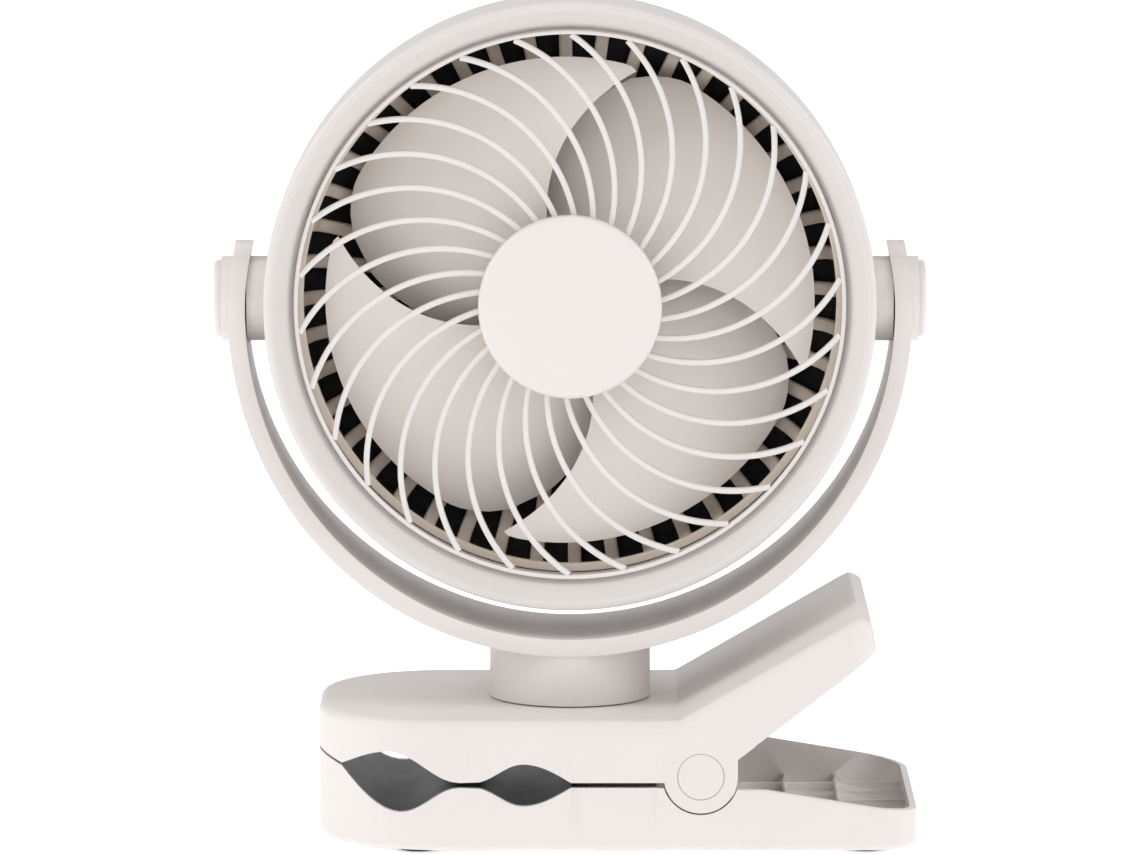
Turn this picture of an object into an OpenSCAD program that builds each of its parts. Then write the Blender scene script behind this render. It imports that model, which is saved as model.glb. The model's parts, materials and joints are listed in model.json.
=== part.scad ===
// Clip-on desk fan: a spring clip that also serves as a foot, a swivelling yoke,
// a tilting head with a four-blade impeller. +Z up, the fan faces -Y.
// Origin: on the table, under the neck's axis.

/* [Clip] */
// Distance from the neck's axis to the clip's nose
nose_x = 73.7; // [70:0.1:95]
// Distance from the neck's axis to the end of the lower jaw's tail
tail_x = 101; // [98:0.5:125]
// Depth of the clip, front to back
clip_d = 92; // [86:1:120]
// Height of the closed clip's flat top
clip_h = 39; // [38:0.5:47]
// Corner radius of the nose, seen from above
nose_r = 36; // [20:1:40]
// Corner radius of the tail, seen from above
tail_r = 14; // [6:1:25]
// Wall thickness of the clip's shells
wall = 2; // [1.6:0.1:2.4]
// Height of the parting between the jaws
split_z = 20.1; // [19.5:0.1:20.5]
// Gap between the closed jaws
split_gap = 1.5; // [1:0.1:2]
// How far the soles of the feet stand below the lower jaw
foot_proud = 0.8; // [0.5:0.1:1.5]
// Radius of one foot
foot_r = 6; // [4:0.5:8]

/* [Jaw openings] */
// Left end of the large opening
big_tip_x = -66.5; // [-68:0.5:-63]
// Height of the large opening's left end
big_tip_z = 23.9; // [22:0.1:26]
// Crest of the large opening, upper jaw
big_crest = [-52, 29.5];
// Hollow of the large opening, lower jaw
big_hollow = [-49.3, 11.9];
// Middle of the waist between the openings
waist_x = -30; // [-32:0.5:-28]
// Crest of the small opening, upper jaw
small_crest = [-13.7, 26.3];
// Hollow of the small opening, lower jaw
small_hollow = [-13.7, 13.9];
// Right end of the small opening
small_end_x = 0.3; // [-1:0.1:2]
// Thickness of the rubber jaw pads
pad_t = 1.6; // [1.2:0.1:2]
// Thickness of the plate behind each pad
deck_t = 1.6; // [1.2:0.1:2]

/* [Clip hinge] */
// Hinge axis, to the right of the neck
hinge_x = 37.9; // [35:0.1:40]
// Hinge axis, above the table
hinge_z = 22.6; // [21.5:0.1:24]
// Radius of the upper jaw's round lobes
lobe_r = 10.7; // [9:0.1:12]
// Thickness of each lobe, along the hinge
lobe_t = 9; // [6:0.5:12]
// Radius of the caps over the pin's ends
pin_cap_r = 6.8; // [5:0.1:7.5]
// Radius of the hinge pin
pin_r = 2; // [1.5:0.1:3]
// Radius of the lower jaw's pin ears
ear_r = 6; // [5:0.1:7]
// Thickness of one ear
ear_t = 6; // [4:0.5:8]
// Distance of each ear's middle from the clip's middle
ear_y = 31; // [26:0.5:33]
// Outer radius of the torsion spring's coil
coil_r = 5; // [4:0.1:6]
// Radius of the spring wire
wire_r = 0.8; // [0.6:0.1:1]
// Length of the spring's coil
coil_l = 26; // [18:1:34]

/* [Handle] */
// Start of the handle's slope on the clip's top
slope_x = 31.5; // [28:0.5:36]
// Slope of the handle's top
slope = 30; // [27:0.5:33]
// Length of the slope
handle_l = 62.5; // [52:0.5:66]
// Thickness of the handle at its end
handle_tip_t = 11.8; // [11:0.1:14]
// Corner radius of the handle's end, seen from above
handle_r = 10; // [5:1:14]

/* [Tray] */
// Height of the tray's wall beside the hinge
tray_z0 = 18.8; // [15:0.1:19.2]
// Height of the tray's wall at the tail
tray_z1 = 12.8; // [10:0.1:16]
// Thickness of the tray's floor
tray_floor = 2; // [1.5:0.1:3]
// Height of the lattice above the floor
lattice_h = 4.5; // [3:0.5:6]
// Thickness of a lattice rib
lattice_t = 1.4; // [1:0.1:2]
// Lattice ribs across the tray
cross_ribs = 3; // [2:1:5]
// Lattice ribs along the tray
long_ribs = 5; // [3:1:7]

/* [Neck] */
// Radius of the neck
neck_r = 23.6; // [18:0.1:26]
// Height of the neck, from the clip's top to the strap's underside
neck_h = 15.2; // [10:0.1:20]
// Outer radius of the swivel spigot
spigot_r = 10; // [9:0.5:12]
// Radius of the wire way through the spigot
wireway_r = 6; // [4:0.5:6.5]

/* [Yoke] */
// Gap between the head and the strap
head_gap = 5.8; // [5.5:0.1:10]
// Thickness of the strap
strap_t = 5; // [4:0.1:8]
// Width of the strap at the pivots
strap_w_top = 27; // [24:0.5:32]
// Width of the strap over the neck
strap_w_low = 48; // [40:1:56]
// How far the strap's centre lies below the head's axis
strap_drop = 2.8; // [1:0.1:5]
// Height of the arms above the pivots
arm_top = 16.7; // [14:0.1:20]
// Outer radius of the pivot caps
pivot_cap_r = 11.2; // [9:0.1:12]
// How far the pivot caps stand proud
pivot_cap_h = 2.2; // [1.5:0.1:4]

/* [Head] */
// Outer radius of the head
head_r = 89; // [75:1:110]
// Distance of the front lip from the tilt axis
front_y = 25; // [22:0.5:30]
// Distance of the rear rim from the tilt axis
rear_y = 24; // [21:0.5:30]
// Radial width of the rounded front lip and cone
lip_w = 8.5; // [6:0.1:11]
// Depth of the cone behind the lip
cone_d = 8; // [5:0.5:10]
// Wall thickness of the head's shells
head_wall = 2; // [1.4:0.1:2.6]
// Front bezel's depth, lip to seam
bezel_d = 12; // [11.5:0.1:12.4]
// Radius of the pivot bosses
boss_r = 12.4; // [9:0.1:12.9]

/* [Front grille] */
// Number of curved ribs
front_ribs = 30; // [20:1:36]
// Width of a rib, seen from the front
front_rib_w = 1.7; // [1.2:0.1:2.2]
// Depth of a rib
front_rib_d = 2.5; // [1.5:0.1:3]
// Radius of a rib's arc
rib_arc_r = 47; // [44:0.5:60]
// Angle at which a rib leaves the hub, from radial
rib_lean = 12; // [5:1:20]
// Turn of the first rib
rib_phase = 2; // [0:0.5:12]
// Radius of the hub disc
hub_r = 26.7; // [22:0.1:32]
// Radius of the stem that holds the hub disc on the grille
hub_stem_r = 4; // [3:0.5:8]

/* [Rear guard] */
// Number of radial ribs
rear_ribs = 44; // [24:2:48]
// Width of an outer rib
rear_rib_w = 3.2; // [2:0.1:3.6]
// Depth of the rear ribs
rear_rib_d = 2.6; // [2:0.1:4]
// Radius of the guard's middle plate
mount_r = 24; // [22:0.5:28]
// Thickness of the dust screen
screen_t = 0.8; // [0.5:0.1:1.2]

/* [Impeller] */
// Number of blades
blades = 4; // [3:1:6]
// Radius at the blade tips
tip_r = 71.5; // [60:0.5:74]
// Radius of the impeller's hub cup
cup_r = 19; // [17:0.5:22]
// Depth of a blade along the axis
blade_d = 22; // [16:0.5:24]
// Angle that one blade covers
blade_span = 84; // [60:1:88]
// Angle by which the blade's edges sweep back at the tip
blade_sweep = 35; // [0:1:45]
// Thickness of a blade
blade_t = 1.6; // [1.2:0.1:2.4]

/* [Motor] */
// Radius of the motor can
motor_r = 12; // [10:0.5:14]
// Length of the motor can
motor_l = 21; // [16:0.5:24]
// Radius of the motor shaft
shaft_r = 1; // [0.8:0.1:1.5]

/* [Battery and board] */
// Battery pack: along the handle, across it, thickness
battery = [34, 60, 8];
// Circuit board: length, height, thickness
board = [23, 12, 1.6];
// Radius of the power button
button_r = 3.5; // [2.5:0.1:4.5]
// Travel of the power button
button_travel = 0.8; // [0.5:0.1:1]

/* [Hidden] */
$fn = 64;

run_gap = 0.05;      // radial clearance of a turning fit
fit_gap = 0.15;      // clearance of a cover in its opening
side_gap = 0.5;      // gap between the two jaws' moving walls
cut = 1;             // how far a cutter runs past a face
half_d = clip_d / 2;
upper_z = split_z + split_gap / 2;      // lowest edge of the upper jaw
lower_z = split_z - split_gap / 2;      // highest edge of the lower jaw
waist_half = 2;      // half the length of the flat waist
pad_end_x = small_end_x + 1;
cover_end_x = hinge_x - lobe_r - 2;     // where jaw covers and decks stop
inner_y = half_d - wall;
bay_y = half_d - lobe_t;                // half depth of the open hinge bay

yoke_in_r = head_r + head_gap;
yoke_out_r = yoke_in_r + strap_t;
strap_z = clip_h + neck_h + yoke_out_r;
head_z = strap_z + strap_drop;
neck_gap = 0.4;      // the neck turns just clear of the clip's top
arm_out_x = yoke_out_r + 2.2;           // outer face of the pivot pads
arm_in_x = yoke_in_r;
boss_x = arm_in_x - 0.4;                // face of the head's pivot boss
pivot_spigot_r = 4;
pivot_pocket_x = arm_out_x - 3;         // floor of the pocket under a pivot cap
pivot_washer_t = 0.8;

duct_r = head_r - lip_w;                // inner radius of the air duct
seam_y = bezel_d - front_y;             // plane where bezel and rear housing meet
grille_y = -front_y + 5.2;              // front of the ribs
rim_w = 1.2;                            // grille rim's radial width
rib_end_r = duct_r - fit_gap - rim_w / 2;
guard_y = rear_y - 5;                   // front of the rear ribs
guard_back_y = guard_y + rear_rib_d;
guard_ring_r = (mount_r + duct_r) / 2 - 6;
guard_rim_y = -5;                       // front edge of the guard's bowl
bowl_t = 2.4;                           // thickness of the bowl's wall
bowl_r = duct_r - fit_gap - bowl_t;     // inside radius of the bowl
cap_d = 8;                              // depth of the rear cap
cap_screw_z = 15;                       // cap screws, above and below the axis
blade_y = -12;                          // front edge of the blades
motor_y = guard_y - motor_l;            // front face of the motor can
can_wall = 0.8;
bush_r = 3;
bush_l = 3;
screw_r = 1.5;
screw_head_r = 2.8;
small_screw_r = 0.9;

// Points of the jaws' edges -----------------------------------------------------
function rise(a, b, n) = [for (i = [0:n]) [a[0] + (b[0] - a[0]) * i / n,
    a[1] + (b[1] - a[1]) * sin(90 * i / n)]];
function fall(a, b, n) = [for (i = [1:n]) [a[0] + (b[0] - a[0]) * i / n,
    b[1] + (a[1] - b[1]) * cos(90 * i / n)]];
function ease(a, b, n) = [for (i = [1:n]) [a[0] + (b[0] - a[0]) * i / n,
    a[1] + (b[1] - a[1]) * (1 - cos(180 * i / n)) / 2]];
function jaw_edge(tip, crest1, crest2, level, n = 8) = concat(
    [[-nose_x - cut, tip[1] + 2.6]],
    rise(tip, crest1, n),
    ease(crest1, [waist_x - waist_half, level], n),
    ease([waist_x + waist_half, level], crest2, n),
    fall(crest2, [small_end_x, level], n),
    [[cover_end_x, level]]);
lip_gap = 0.4;       // half the mouth slit's width at the nose
upper_edge = jaw_edge([big_tip_x, big_tip_z + lip_gap], big_crest, small_crest, upper_z);
lower_edge = jaw_edge([big_tip_x, big_tip_z - lip_gap], big_hollow, small_hollow, lower_z);
function shifted(points, dz) = [for (p = points) [p[0], p[1] + dz]];
function reversed(points) = [for (i = [len(points) - 1:-1:0]) points[i]];
// the part of an edge that a pad covers: from the tip to just past the small opening
function pad_part(points) = concat([for (p = points) if (p[0] > -nose_x && p[0] < pad_end_x) p],
    [[pad_end_x, points[len(points) - 1][1]]]);
function deck_part(points) = [for (p = points) if (p[0] > -nose_x) p];

// Handle geometry in the XZ plane --------------------------------------------------
handle_dir = [cos(slope), sin(slope)];
handle_in = [sin(slope), -cos(slope)];      // from the top face into the handle
handle_root = [slope_x, clip_h];
handle_tip = handle_root + handle_l * handle_dir;
handle_heel = handle_tip + handle_tip_t * handle_in - 3 * handle_dir;
hinge = [hinge_x, hinge_z];
under_start = [hinge_x + lobe_r, hinge_z + 5];
under_dir = (handle_heel - under_start) / norm(handle_heel - under_start);
under_in = [-under_dir[1], under_dir[0]];   // from the underside into the handle

// Shared shapes --------------------------------------------------------------------
// plan of a jaw: rounded nose corners and rounded corners at the right end
module plan(right_x, right_r, inset = 0) {
    translate([-nose_x + nose_r, -half_d + inset])
        square([nose_x - nose_r + right_x - right_r, clip_d - 2 * inset]);
    translate([-nose_x + inset, -half_d + nose_r])
        square([nose_r, clip_d - 2 * nose_r]);
    translate([right_x - right_r - cut, -half_d + right_r])
        square([right_r + cut - inset, clip_d - 2 * right_r]);
    for (s = [-1, 1]) {
        translate([-nose_x + nose_r, s * (half_d - nose_r)])
            circle(nose_r - inset);
        translate([right_x - right_r, s * (half_d - right_r)])
            circle(right_r - inset);
    }
}

// a front-view outline (x, z) carried through the clip's depth
module across(depth) {
    rotate([90, 0, 0])
        linear_extrude(depth, center = true)
            children();
}

// an upright cylinder standing on z
module post(x, y, z, r, h) {
    translate([x, y, z])
        cylinder(r = r, h = h);
}

// a cylinder along Y, from y to y + l
module rod_y(x, y, z, r, l) {
    translate([x, y, z])
        rotate([-90, 0, 0])
            cylinder(r = r, h = l);
}

// a cylinder along X on the tilt axis, mirrored to both sides
module pivot_rods(x, r, l) {
    for (s = [0, 1])
        mirror([s, 0, 0])
            translate([x, 0, head_z])
                rotate([0, 90, 0])
                    cylinder(r = r, h = l);
}

// a profile (radius, y) turned about the fan's axis
module about_axis() {
    translate([0, 0, head_z])
        rotate([-90, 0, 0])
            rotate_extrude($fn = 96)
                children();
}

// copies in a circle about the fan's axis; local Z points to the rear
module around_axis(count, turn = 0) {
    translate([0, 0, head_z])
        rotate([-90, 0, 0])
            for (i = [0:count - 1])
                rotate([0, 0, turn - i * 360 / count])
                    children();
}

// a screw whose head sits at z, shank upwards
module screw_up(x, y, z, r, head_r, head_h, shank_l) {
    post(x, y, z, head_r, head_h);
    post(x, y, z + head_h - 0.1, r, shank_l + 0.1);
}

// a screw whose head faces the rear at y, shank forwards
module screw_y(x, y, z, r, head_r, head_h, shank_l) {
    rod_y(x, y - head_h, z, head_r, head_h);
    rod_y(x, y - head_h - shank_l, z, r, shank_l + 0.1);
}

// Lower jaw ------------------------------------------------------------------------
tray_start_x = cover_end_x;
base_screw_head_h = 1.4;
plate_t = 1.8;
low_post = lower_z - pad_t - 0.4;                    // top of a post under the flat deck
nose_post = big_tip_z - lip_gap - pad_t - 1;         // top of the post in the nose
base_posts = [[waist_x, 36, low_post], [waist_x, -36, low_post], [16, 36, low_post],
    [16, -36, low_post], [-68, 0, nose_post]];
foot_places = [[-44, 36.5], [-44, -36.5], [86, 36], [86, -36]];
foot_seat = 0.8;     // depth of a foot's recess

module lower_outline() {
    tray_edge = [[cover_end_x, lower_z], [hinge_x + lobe_r, tray_z0],
        [hinge_x + lobe_r + 8, tray_z0], [tail_x - 8, tray_z1], [tail_x + cut, tray_z1 - 1.5]];
    polygon(concat([[tail_x + cut, foot_proud], [-nose_x - cut, foot_proud]], lower_edge, tray_edge));
}

module lower_walls() {
    difference() {
        intersection() {
            linear_extrude(clip_h)
                plan(tail_x, tail_r);
            across(clip_d + cut)
                lower_outline();
        }
        translate([0, 0, -cut])
            linear_extrude(clip_h)
                plan(tail_x, tail_r, wall);
    }
}

module lower_deck() {
    deck = deck_part(lower_edge);
    intersection() {
        linear_extrude(clip_h)
            plan(tail_x, tail_r, wall / 2);
        across(clip_d)
            polygon(concat(shifted(deck, -pad_t), reversed(shifted(deck, -pad_t - deck_t))));
    }
    // end wall of the deck, down to the tray's floor
    translate([cover_end_x - wall, -inner_y, foot_proud])
        cube([wall, 2 * inner_y, lower_z - pad_t - foot_proud]);
}

module tray_lattice() {
    x0 = hinge_x + ear_r + 4;
    pitch_x = (tail_x - wall - x0) / (cross_ribs + 0.3);
    pitch_y = 2 * inner_y / (long_ribs + 1);
    z0 = foot_proud + tray_floor - 0.1;
    for (i = [0:cross_ribs - 1])
        translate([x0 + i * pitch_x, -inner_y - 0.5, z0])
            cube([lattice_t, 2 * inner_y + 1, lattice_h + 0.1]);
    for (i = [1:long_ribs])
        translate([x0, -inner_y + i * pitch_y - lattice_t / 2, z0])
            cube([tail_x - wall / 2 - x0, lattice_t, lattice_h + 0.1]);
}

module lower_jaw_shell() {
    color([0.91, 0.89, 0.87])
    difference() {
        union() {
            lower_walls();
            lower_deck();
            intersection() {
                translate([tray_start_x - wall, -half_d, foot_proud])
                    cube([tail_x, clip_d, tray_floor]);
                linear_extrude(clip_h)
                    plan(tail_x, tail_r, wall / 2);
            }
            intersection() {
                tray_lattice();
                linear_extrude(clip_h)
                    plan(tail_x, tail_r, wall / 2);
            }
            for (s = [-1, 1]) {
                rod_y(hinge_x, s * ear_y - ear_t / 2, hinge_z, ear_r, ear_t);
                translate([hinge_x - ear_r, s * ear_y - ear_t / 2, foot_proud])
                    cube([2 * ear_r, ear_t, hinge_z - foot_proud]);
            }
            for (p = base_posts)
                post(p[0], p[1], foot_proud + plate_t + 0.05, 3.2, p[2] - foot_proud - plate_t - 0.05);
        }
        rod_y(hinge_x, -half_d - cut, hinge_z, lobe_r + side_gap, lobe_t + cut + side_gap);
        rod_y(hinge_x, half_d - lobe_t - side_gap, hinge_z, lobe_r + side_gap, lobe_t + cut + side_gap);
        rod_y(hinge_x, -half_d, hinge_z, pin_r + run_gap, clip_d);
        for (p = base_posts)
            post(p[0], p[1], 0, screw_r, 10);
        for (p = foot_places)
            if (p[0] > 0)
                post(p[0], p[1], foot_proud - cut, foot_r + fit_gap, foot_seat + cut);
    }
}

module base_plate() {
    color([0.88, 0.86, 0.84])
    difference() {
        translate([0, 0, foot_proud])
            linear_extrude(plate_t)
                intersection() {
                    plan(tail_x, tail_r, wall + fit_gap);
                    translate([-nose_x, -half_d])
                        square([nose_x + cover_end_x - wall - fit_gap, clip_d]);
                }
        for (p = base_posts) {
            post(p[0], p[1], 0, screw_r + fit_gap, clip_h);
            post(p[0], p[1], 0, screw_head_r + fit_gap, foot_proud + base_screw_head_h);
        }
        for (p = foot_places)
            post(p[0], p[1], 0, foot_r + fit_gap, foot_proud + foot_seat);
    }
}

module base_screws() {
    color("silver")
    for (p = base_posts)
        screw_up(p[0], p[1], foot_proud, screw_r - 0.02, screw_head_r, base_screw_head_h - 0.02, 6);
}

module feet() {
    color([0.2, 0.2, 0.2])
    for (p = foot_places)
        post(p[0], p[1], 0, foot_r, foot_proud + foot_seat);
}

module lower_jaw_pad() {
    top = pad_part(lower_edge);
    color([0.1, 0.1, 0.11])
    intersection() {
        linear_extrude(clip_h)
            plan(tail_x, tail_r, wall + fit_gap);
        across(clip_d)
            polygon(concat(top, reversed(shifted(top, -pad_t))));
    }
}

module clip_pin() {
    pin_l = clip_d - 2 * pin_cap_h - 0.6;
    color("silver")
    rod_y(hinge_x, -pin_l / 2, hinge_z, pin_r, pin_l);
}

module torsion_spring() {
    leg_l = 14;
    color("silver")
    difference() {
        union() {
            rod_y(hinge_x, -coil_l / 2, hinge_z, coil_r, coil_l);
            translate([hinge_x + coil_r - wire_r, -coil_l / 2 + wire_r, hinge_z])
                rotate([0, 180, 0])
                    cylinder(r = wire_r, h = leg_l);
            translate([hinge_x, coil_l / 2 - wire_r, hinge_z + coil_r - wire_r])
                rotate([0, 90 - slope, 0])
                    cylinder(r = wire_r, h = leg_l);
        }
        rod_y(hinge_x, -half_d, hinge_z, coil_r - 2 * wire_r, clip_d);
    }
}

// Upper jaw and handle ----------------------------------------------------------------
pin_cap_h = 2;
cover_posts = [[waist_x, 34], [waist_x, -34], [16, 34], [16, -34]];
cover_z = upper_z + pad_t;      // underside of the flat part of the jaw cover
collar_h = 5.5;                 // height of the collar round the swivel spigot
collar_r = spigot_r + 4;
board_at = [small_end_x + 1.2, half_d - 7.5, clip_h - wall - board[1] - 0.6];
controls_z = board_at[2] + board[1] / 2;
usb_x = board_at[0] + 5;
lens_x = board_at[0] + 12;
button_x = board_at[0] + 18;
usb = [9, 7.2, 3.2];
lens_r = 1.5;
handle_cover_t = 1.8;
handle_screw_u = [0.3, 0.85];   // places of the handle's screws along its underside

module upper_outline() {
    polygon(concat(upper_edge,
        [[hinge_x - lobe_r, upper_z], [hinge_x, hinge_z], [hinge_x + lobe_r, hinge_z], under_start,
        handle_heel, handle_tip + 3 * handle_in, handle_tip - 2.5 * handle_dir, handle_root,
        [-nose_x - cut, clip_h]]));
    translate(hinge)
        circle(lobe_r);
}

module upper_cavity() {
    roof = clip_h - wall;
    inner_root = handle_root + wall * handle_in + wall * [-tan(slope / 2) * cos(slope), -tan(slope / 2) * sin(slope)];
    inner_tip = handle_tip + wall * handle_in - (wall + 2) * handle_dir;
    inner_heel = handle_heel - cut * under_in - wall * handle_dir;
    // the jaw, open below
    across(2 * inner_y)
        polygon([[-nose_x, 0], [cover_end_x, 0], [cover_end_x, roof], [-nose_x, roof]]);
    // the bay between the lobes
    across(2 * bay_y)
        polygon([[cover_end_x - cut, 0], [hinge_x + lobe_r + 1, 0], [hinge_x + lobe_r + 1, roof], [cover_end_x - cut, roof]]);
    // the handle, open below
    across(2 * inner_y)
        polygon([[cover_end_x - 0.1, roof], inner_root, inner_tip, inner_heel,
            under_start + 2 * under_dir - cut * under_in, under_start + 2 * under_dir + 4 * under_in,
            [hinge_x + 2, hinge_z + lobe_r + 0.5], [cover_end_x - 0.1, hinge_z + lobe_r + 0.5]]);
}

module upper_jaw_shell() {
    color([0.92, 0.90, 0.88])
    difference() {
        union() {
            difference() {
                intersection() {
                    linear_extrude(2 * clip_h + handle_l)
                        plan(handle_tip[0] + handle_tip_t * handle_in[0] + 0.5, handle_r);
                    across(clip_d + cut)
                        upper_outline();
                }
                intersection() {
                    upper_cavity();
                    translate([0, 0, -cut])
                        linear_extrude(2 * clip_h + handle_l)
                            plan(handle_tip[0] + handle_tip_t * handle_in[0] + 0.5, handle_r, wall);
                }
            }
            post(0, 0, clip_h - collar_h, collar_r, collar_h - 0.1);
            for (p = cover_posts)
                post(p[0], p[1], cover_z + deck_t + 0.1, 2.8, clip_h - cover_z - deck_t - 0.2);
        }
        post(0, 0, 0, spigot_r + run_gap, clip_h + cut);
        for (p = cover_posts)
            post(p[0], p[1], 0, small_screw_r + 0.2, clip_h - wall - 3);
        rod_y(hinge_x, -half_d - cut, hinge_z, pin_cap_r + run_gap, pin_cap_h + cut);
        rod_y(hinge_x, half_d - pin_cap_h, hinge_z, pin_cap_r + run_gap, pin_cap_h + cut);
        rod_y(hinge_x, -half_d, hinge_z, pin_r + run_gap, clip_d);
        // holes in the rear wall for the socket, the lens and the button
        translate([usb_x - usb[0] / 2 - 0.2, half_d - wall - cut, controls_z - usb[2] / 2 - 0.2])
            cube([usb[0] + 0.4, wall + 2 * cut, usb[2] + 0.4]);
        rod_y(lens_x, half_d - wall - cut, controls_z, lens_r + run_gap, wall + 2 * cut);
        rod_y(button_x, half_d - wall - cut, controls_z, button_r + run_gap, wall + 2 * cut);
    }
}

module upper_jaw_cover() {
    deck = deck_part(upper_edge);
    color([0.88, 0.86, 0.84])
    difference() {
        intersection() {
            linear_extrude(clip_h)
                plan(tail_x, tail_r, wall + fit_gap);
            across(clip_d)
                polygon(concat(shifted(deck, pad_t), reversed(shifted(deck, pad_t + deck_t))));
        }
        for (p = cover_posts) {
            post(p[0], p[1], 0, small_screw_r + 0.4, clip_h);
            post(p[0], p[1], 0, 2.2, cover_z + 0.95);
        }
    }
}

module cover_screws() {
    color("silver")
    for (p = cover_posts)
        screw_up(p[0], p[1], cover_z + 0.2, small_screw_r, 2, 0.7, 6);
}

module upper_jaw_pad() {
    low = pad_part(upper_edge);
    color([0.1, 0.1, 0.11])
    intersection() {
        linear_extrude(clip_h)
            plan(tail_x, tail_r, wall + fit_gap);
        across(clip_d)
            polygon(concat(low, reversed(shifted(low, pad_t - 0.02))));
    }
}

// a place on the handle's underside: share of its length, then depth inwards
function under_point(u, depth) = under_start + (2.2 + u * (norm(handle_heel - under_start) - 5)) * under_dir
    + depth * under_in;

module handle_cover() {
    color([0.88, 0.86, 0.84])
    difference() {
        across(2 * (inner_y - fit_gap))
            polygon([under_point(0, 0), under_point(1, 0), under_point(1, handle_cover_t), under_point(0, handle_cover_t)]);
        linear_extrude(2 * clip_h + handle_l)
            difference() {
                square(4 * tail_x, center = true);
                plan(handle_tip[0] + handle_tip_t * handle_in[0] + 0.5, handle_r, wall + fit_gap);
            }
        for (u = handle_screw_u, s = [-1, 1])
            handle_screw_place(u, s)
                union() {
                    translate([0, 0, -cut])
                        cylinder(r = 2.1, h = 0.9 + cut);
                    cylinder(r = small_screw_r + 0.2, h = 2 * handle_cover_t);
                }
    }
}

module handle_screw_place(u, s) {
    p = under_point(u, 0);
    angle = atan2(under_dir[1], under_dir[0]);
    translate([p[0], s * 38, p[1]])
        rotate([0, -angle, 0])
            children();
}

module handle_screws() {
    color("silver")
    for (u = handle_screw_u, s = [-1, 1])
        handle_screw_place(u, s)
            screw_up(0, 0, 0.1, small_screw_r, 1.9, 0.7, 2.4);
}

module pin_caps() {
    color([0.93, 0.92, 0.90])
    for (y = [-half_d, half_d - pin_cap_h + 0.1])
        rod_y(hinge_x, y, hinge_z, pin_cap_r, pin_cap_h - 0.1);
}

module battery_pack() {
    corner = handle_root + 9 * handle_dir + (wall + 0.4) * handle_in;
    color([0.35, 0.5, 0.75])
    translate([corner[0], 0, corner[1]])
        rotate([0, -slope, 0])
            translate([0, -battery[1] / 2, -battery[2]])
                cube([battery[0], battery[1], battery[2]]);
}

module control_board() {
    color([0.1, 0.4, 0.25])
    difference() {
        translate(board_at)
            cube([board[0], board[2], board[1]]);
        for (x = [1.8, board[0] - 1.8])
            rod_y(board_at[0] + x, board_at[1] - cut, board_at[2] + 1.8, small_screw_r + 0.1, board[2] + 2 * cut);
        translate([usb_x - usb[0] / 2 - run_gap, board_at[1] - cut, controls_z - usb[2] / 2 - run_gap])
            cube([usb[0] + 2 * run_gap, board[2] + 2 * cut, usb[2] + 2 * run_gap]);
    }
}

module board_screws() {
    color("silver")
    for (x = [1.8, board[0] - 1.8]) {
        rod_y(board_at[0] + x, board_at[1] - 0.7, board_at[2] + 1.8, 1.6, 0.7);
        rod_y(board_at[0] + x, board_at[1] - 0.1, board_at[2] + 1.8, small_screw_r, 4);
    }
}

module usb_socket() {
    color("silver")
    difference() {
        translate([usb_x - usb[0] / 2, half_d - usb[1] + 1.6 - wall, controls_z - usb[2] / 2])
            cube([usb[0], usb[1], usb[2]]);
        translate([usb_x - usb[0] / 2 + 0.4, half_d - usb[1] + 3 - wall, controls_z - usb[2] / 2 + 0.4])
            cube([usb[0] - 0.8, usb[1], usb[2] - 0.8]);
    }
}

module indicator_lens() {
    color([0.8, 0.95, 1])
    rod_y(lens_x, board_at[1] + board[2] + 1, controls_z, lens_r, half_d - board_at[1] - board[2] - 1);
}

module power_button() {
    color([0.93, 0.92, 0.90])
    union() {
        rod_y(button_x, half_d - wall - 1.2, controls_z, button_r, wall + 1.2);
        rod_y(button_x, half_d - wall - 1.2, controls_z, button_r + 0.8, 0.9);
    }
}

// Yoke --------------------------------------------------------------------------------
retainer_t = 1.4;
swivel_washer_t = 0.6;
collar_z = clip_h - collar_h;
spigot_end_z = collar_z - swivel_washer_t - 0.1;
swivel_screw_at = (spigot_r + wireway_r) / 2;

module strap_side() {
    polygon([[-strap_w_low / 2, 0], [strap_w_low / 2, 0], [strap_w_low / 2, clip_h + neck_h + 12],
        [strap_w_top / 2, head_z - 25], [strap_w_top / 2, head_z], [-strap_w_top / 2, head_z],
        [-strap_w_top / 2, head_z - 25], [-strap_w_low / 2, clip_h + neck_h + 12]]);
    intersection() {
        translate([0, head_z])
            circle(strap_w_top / 2);
        translate([-strap_w_top, head_z - 1])
            square([2 * strap_w_top, arm_top + 1]);
    }
    translate([-5, head_z])
        square([10, arm_top]);
}

module yoke() {
    color([0.91, 0.89, 0.86])
    difference() {
        union() {
            intersection() {
                translate([0, 0, strap_z])
                    across(clip_d)
                        difference() {
                            circle(yoke_out_r, $fn = 128);
                            circle(yoke_in_r, $fn = 128);
                        }
                rotate([90, 0, 90])
                    linear_extrude(4 * yoke_out_r, center = true)
                        strap_side();
            }
            pivot_rods(arm_in_x, boss_r, arm_out_x - arm_in_x);
            difference() {
                post(0, 0, clip_h + neck_gap, neck_r, neck_h + 6);
                translate([0, 0, strap_z])
                    across(clip_d)
                        circle(yoke_in_r, $fn = 128);
                post(0, 0, 0, neck_r - 3, clip_h + neck_h - 3);
            }
            post(0, 0, spigot_end_z, spigot_r, clip_h + neck_h - 2 - spigot_end_z);
        }
        post(0, 0, 0, wireway_r, clip_h + neck_h - 3);
        pivot_rods(arm_in_x - 5, boss_r + side_gap, 5);
        pivot_rods(arm_in_x - cut, pivot_spigot_r + run_gap, 20);
        pivot_rods(pivot_pocket_x, pivot_cap_r - 2.5, 10);
        for (a = [0, 120, 240])
            rotate([0, 0, a])
                post(swivel_screw_at, 0, 0, small_screw_r, spigot_end_z + 6);
    }
}

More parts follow.
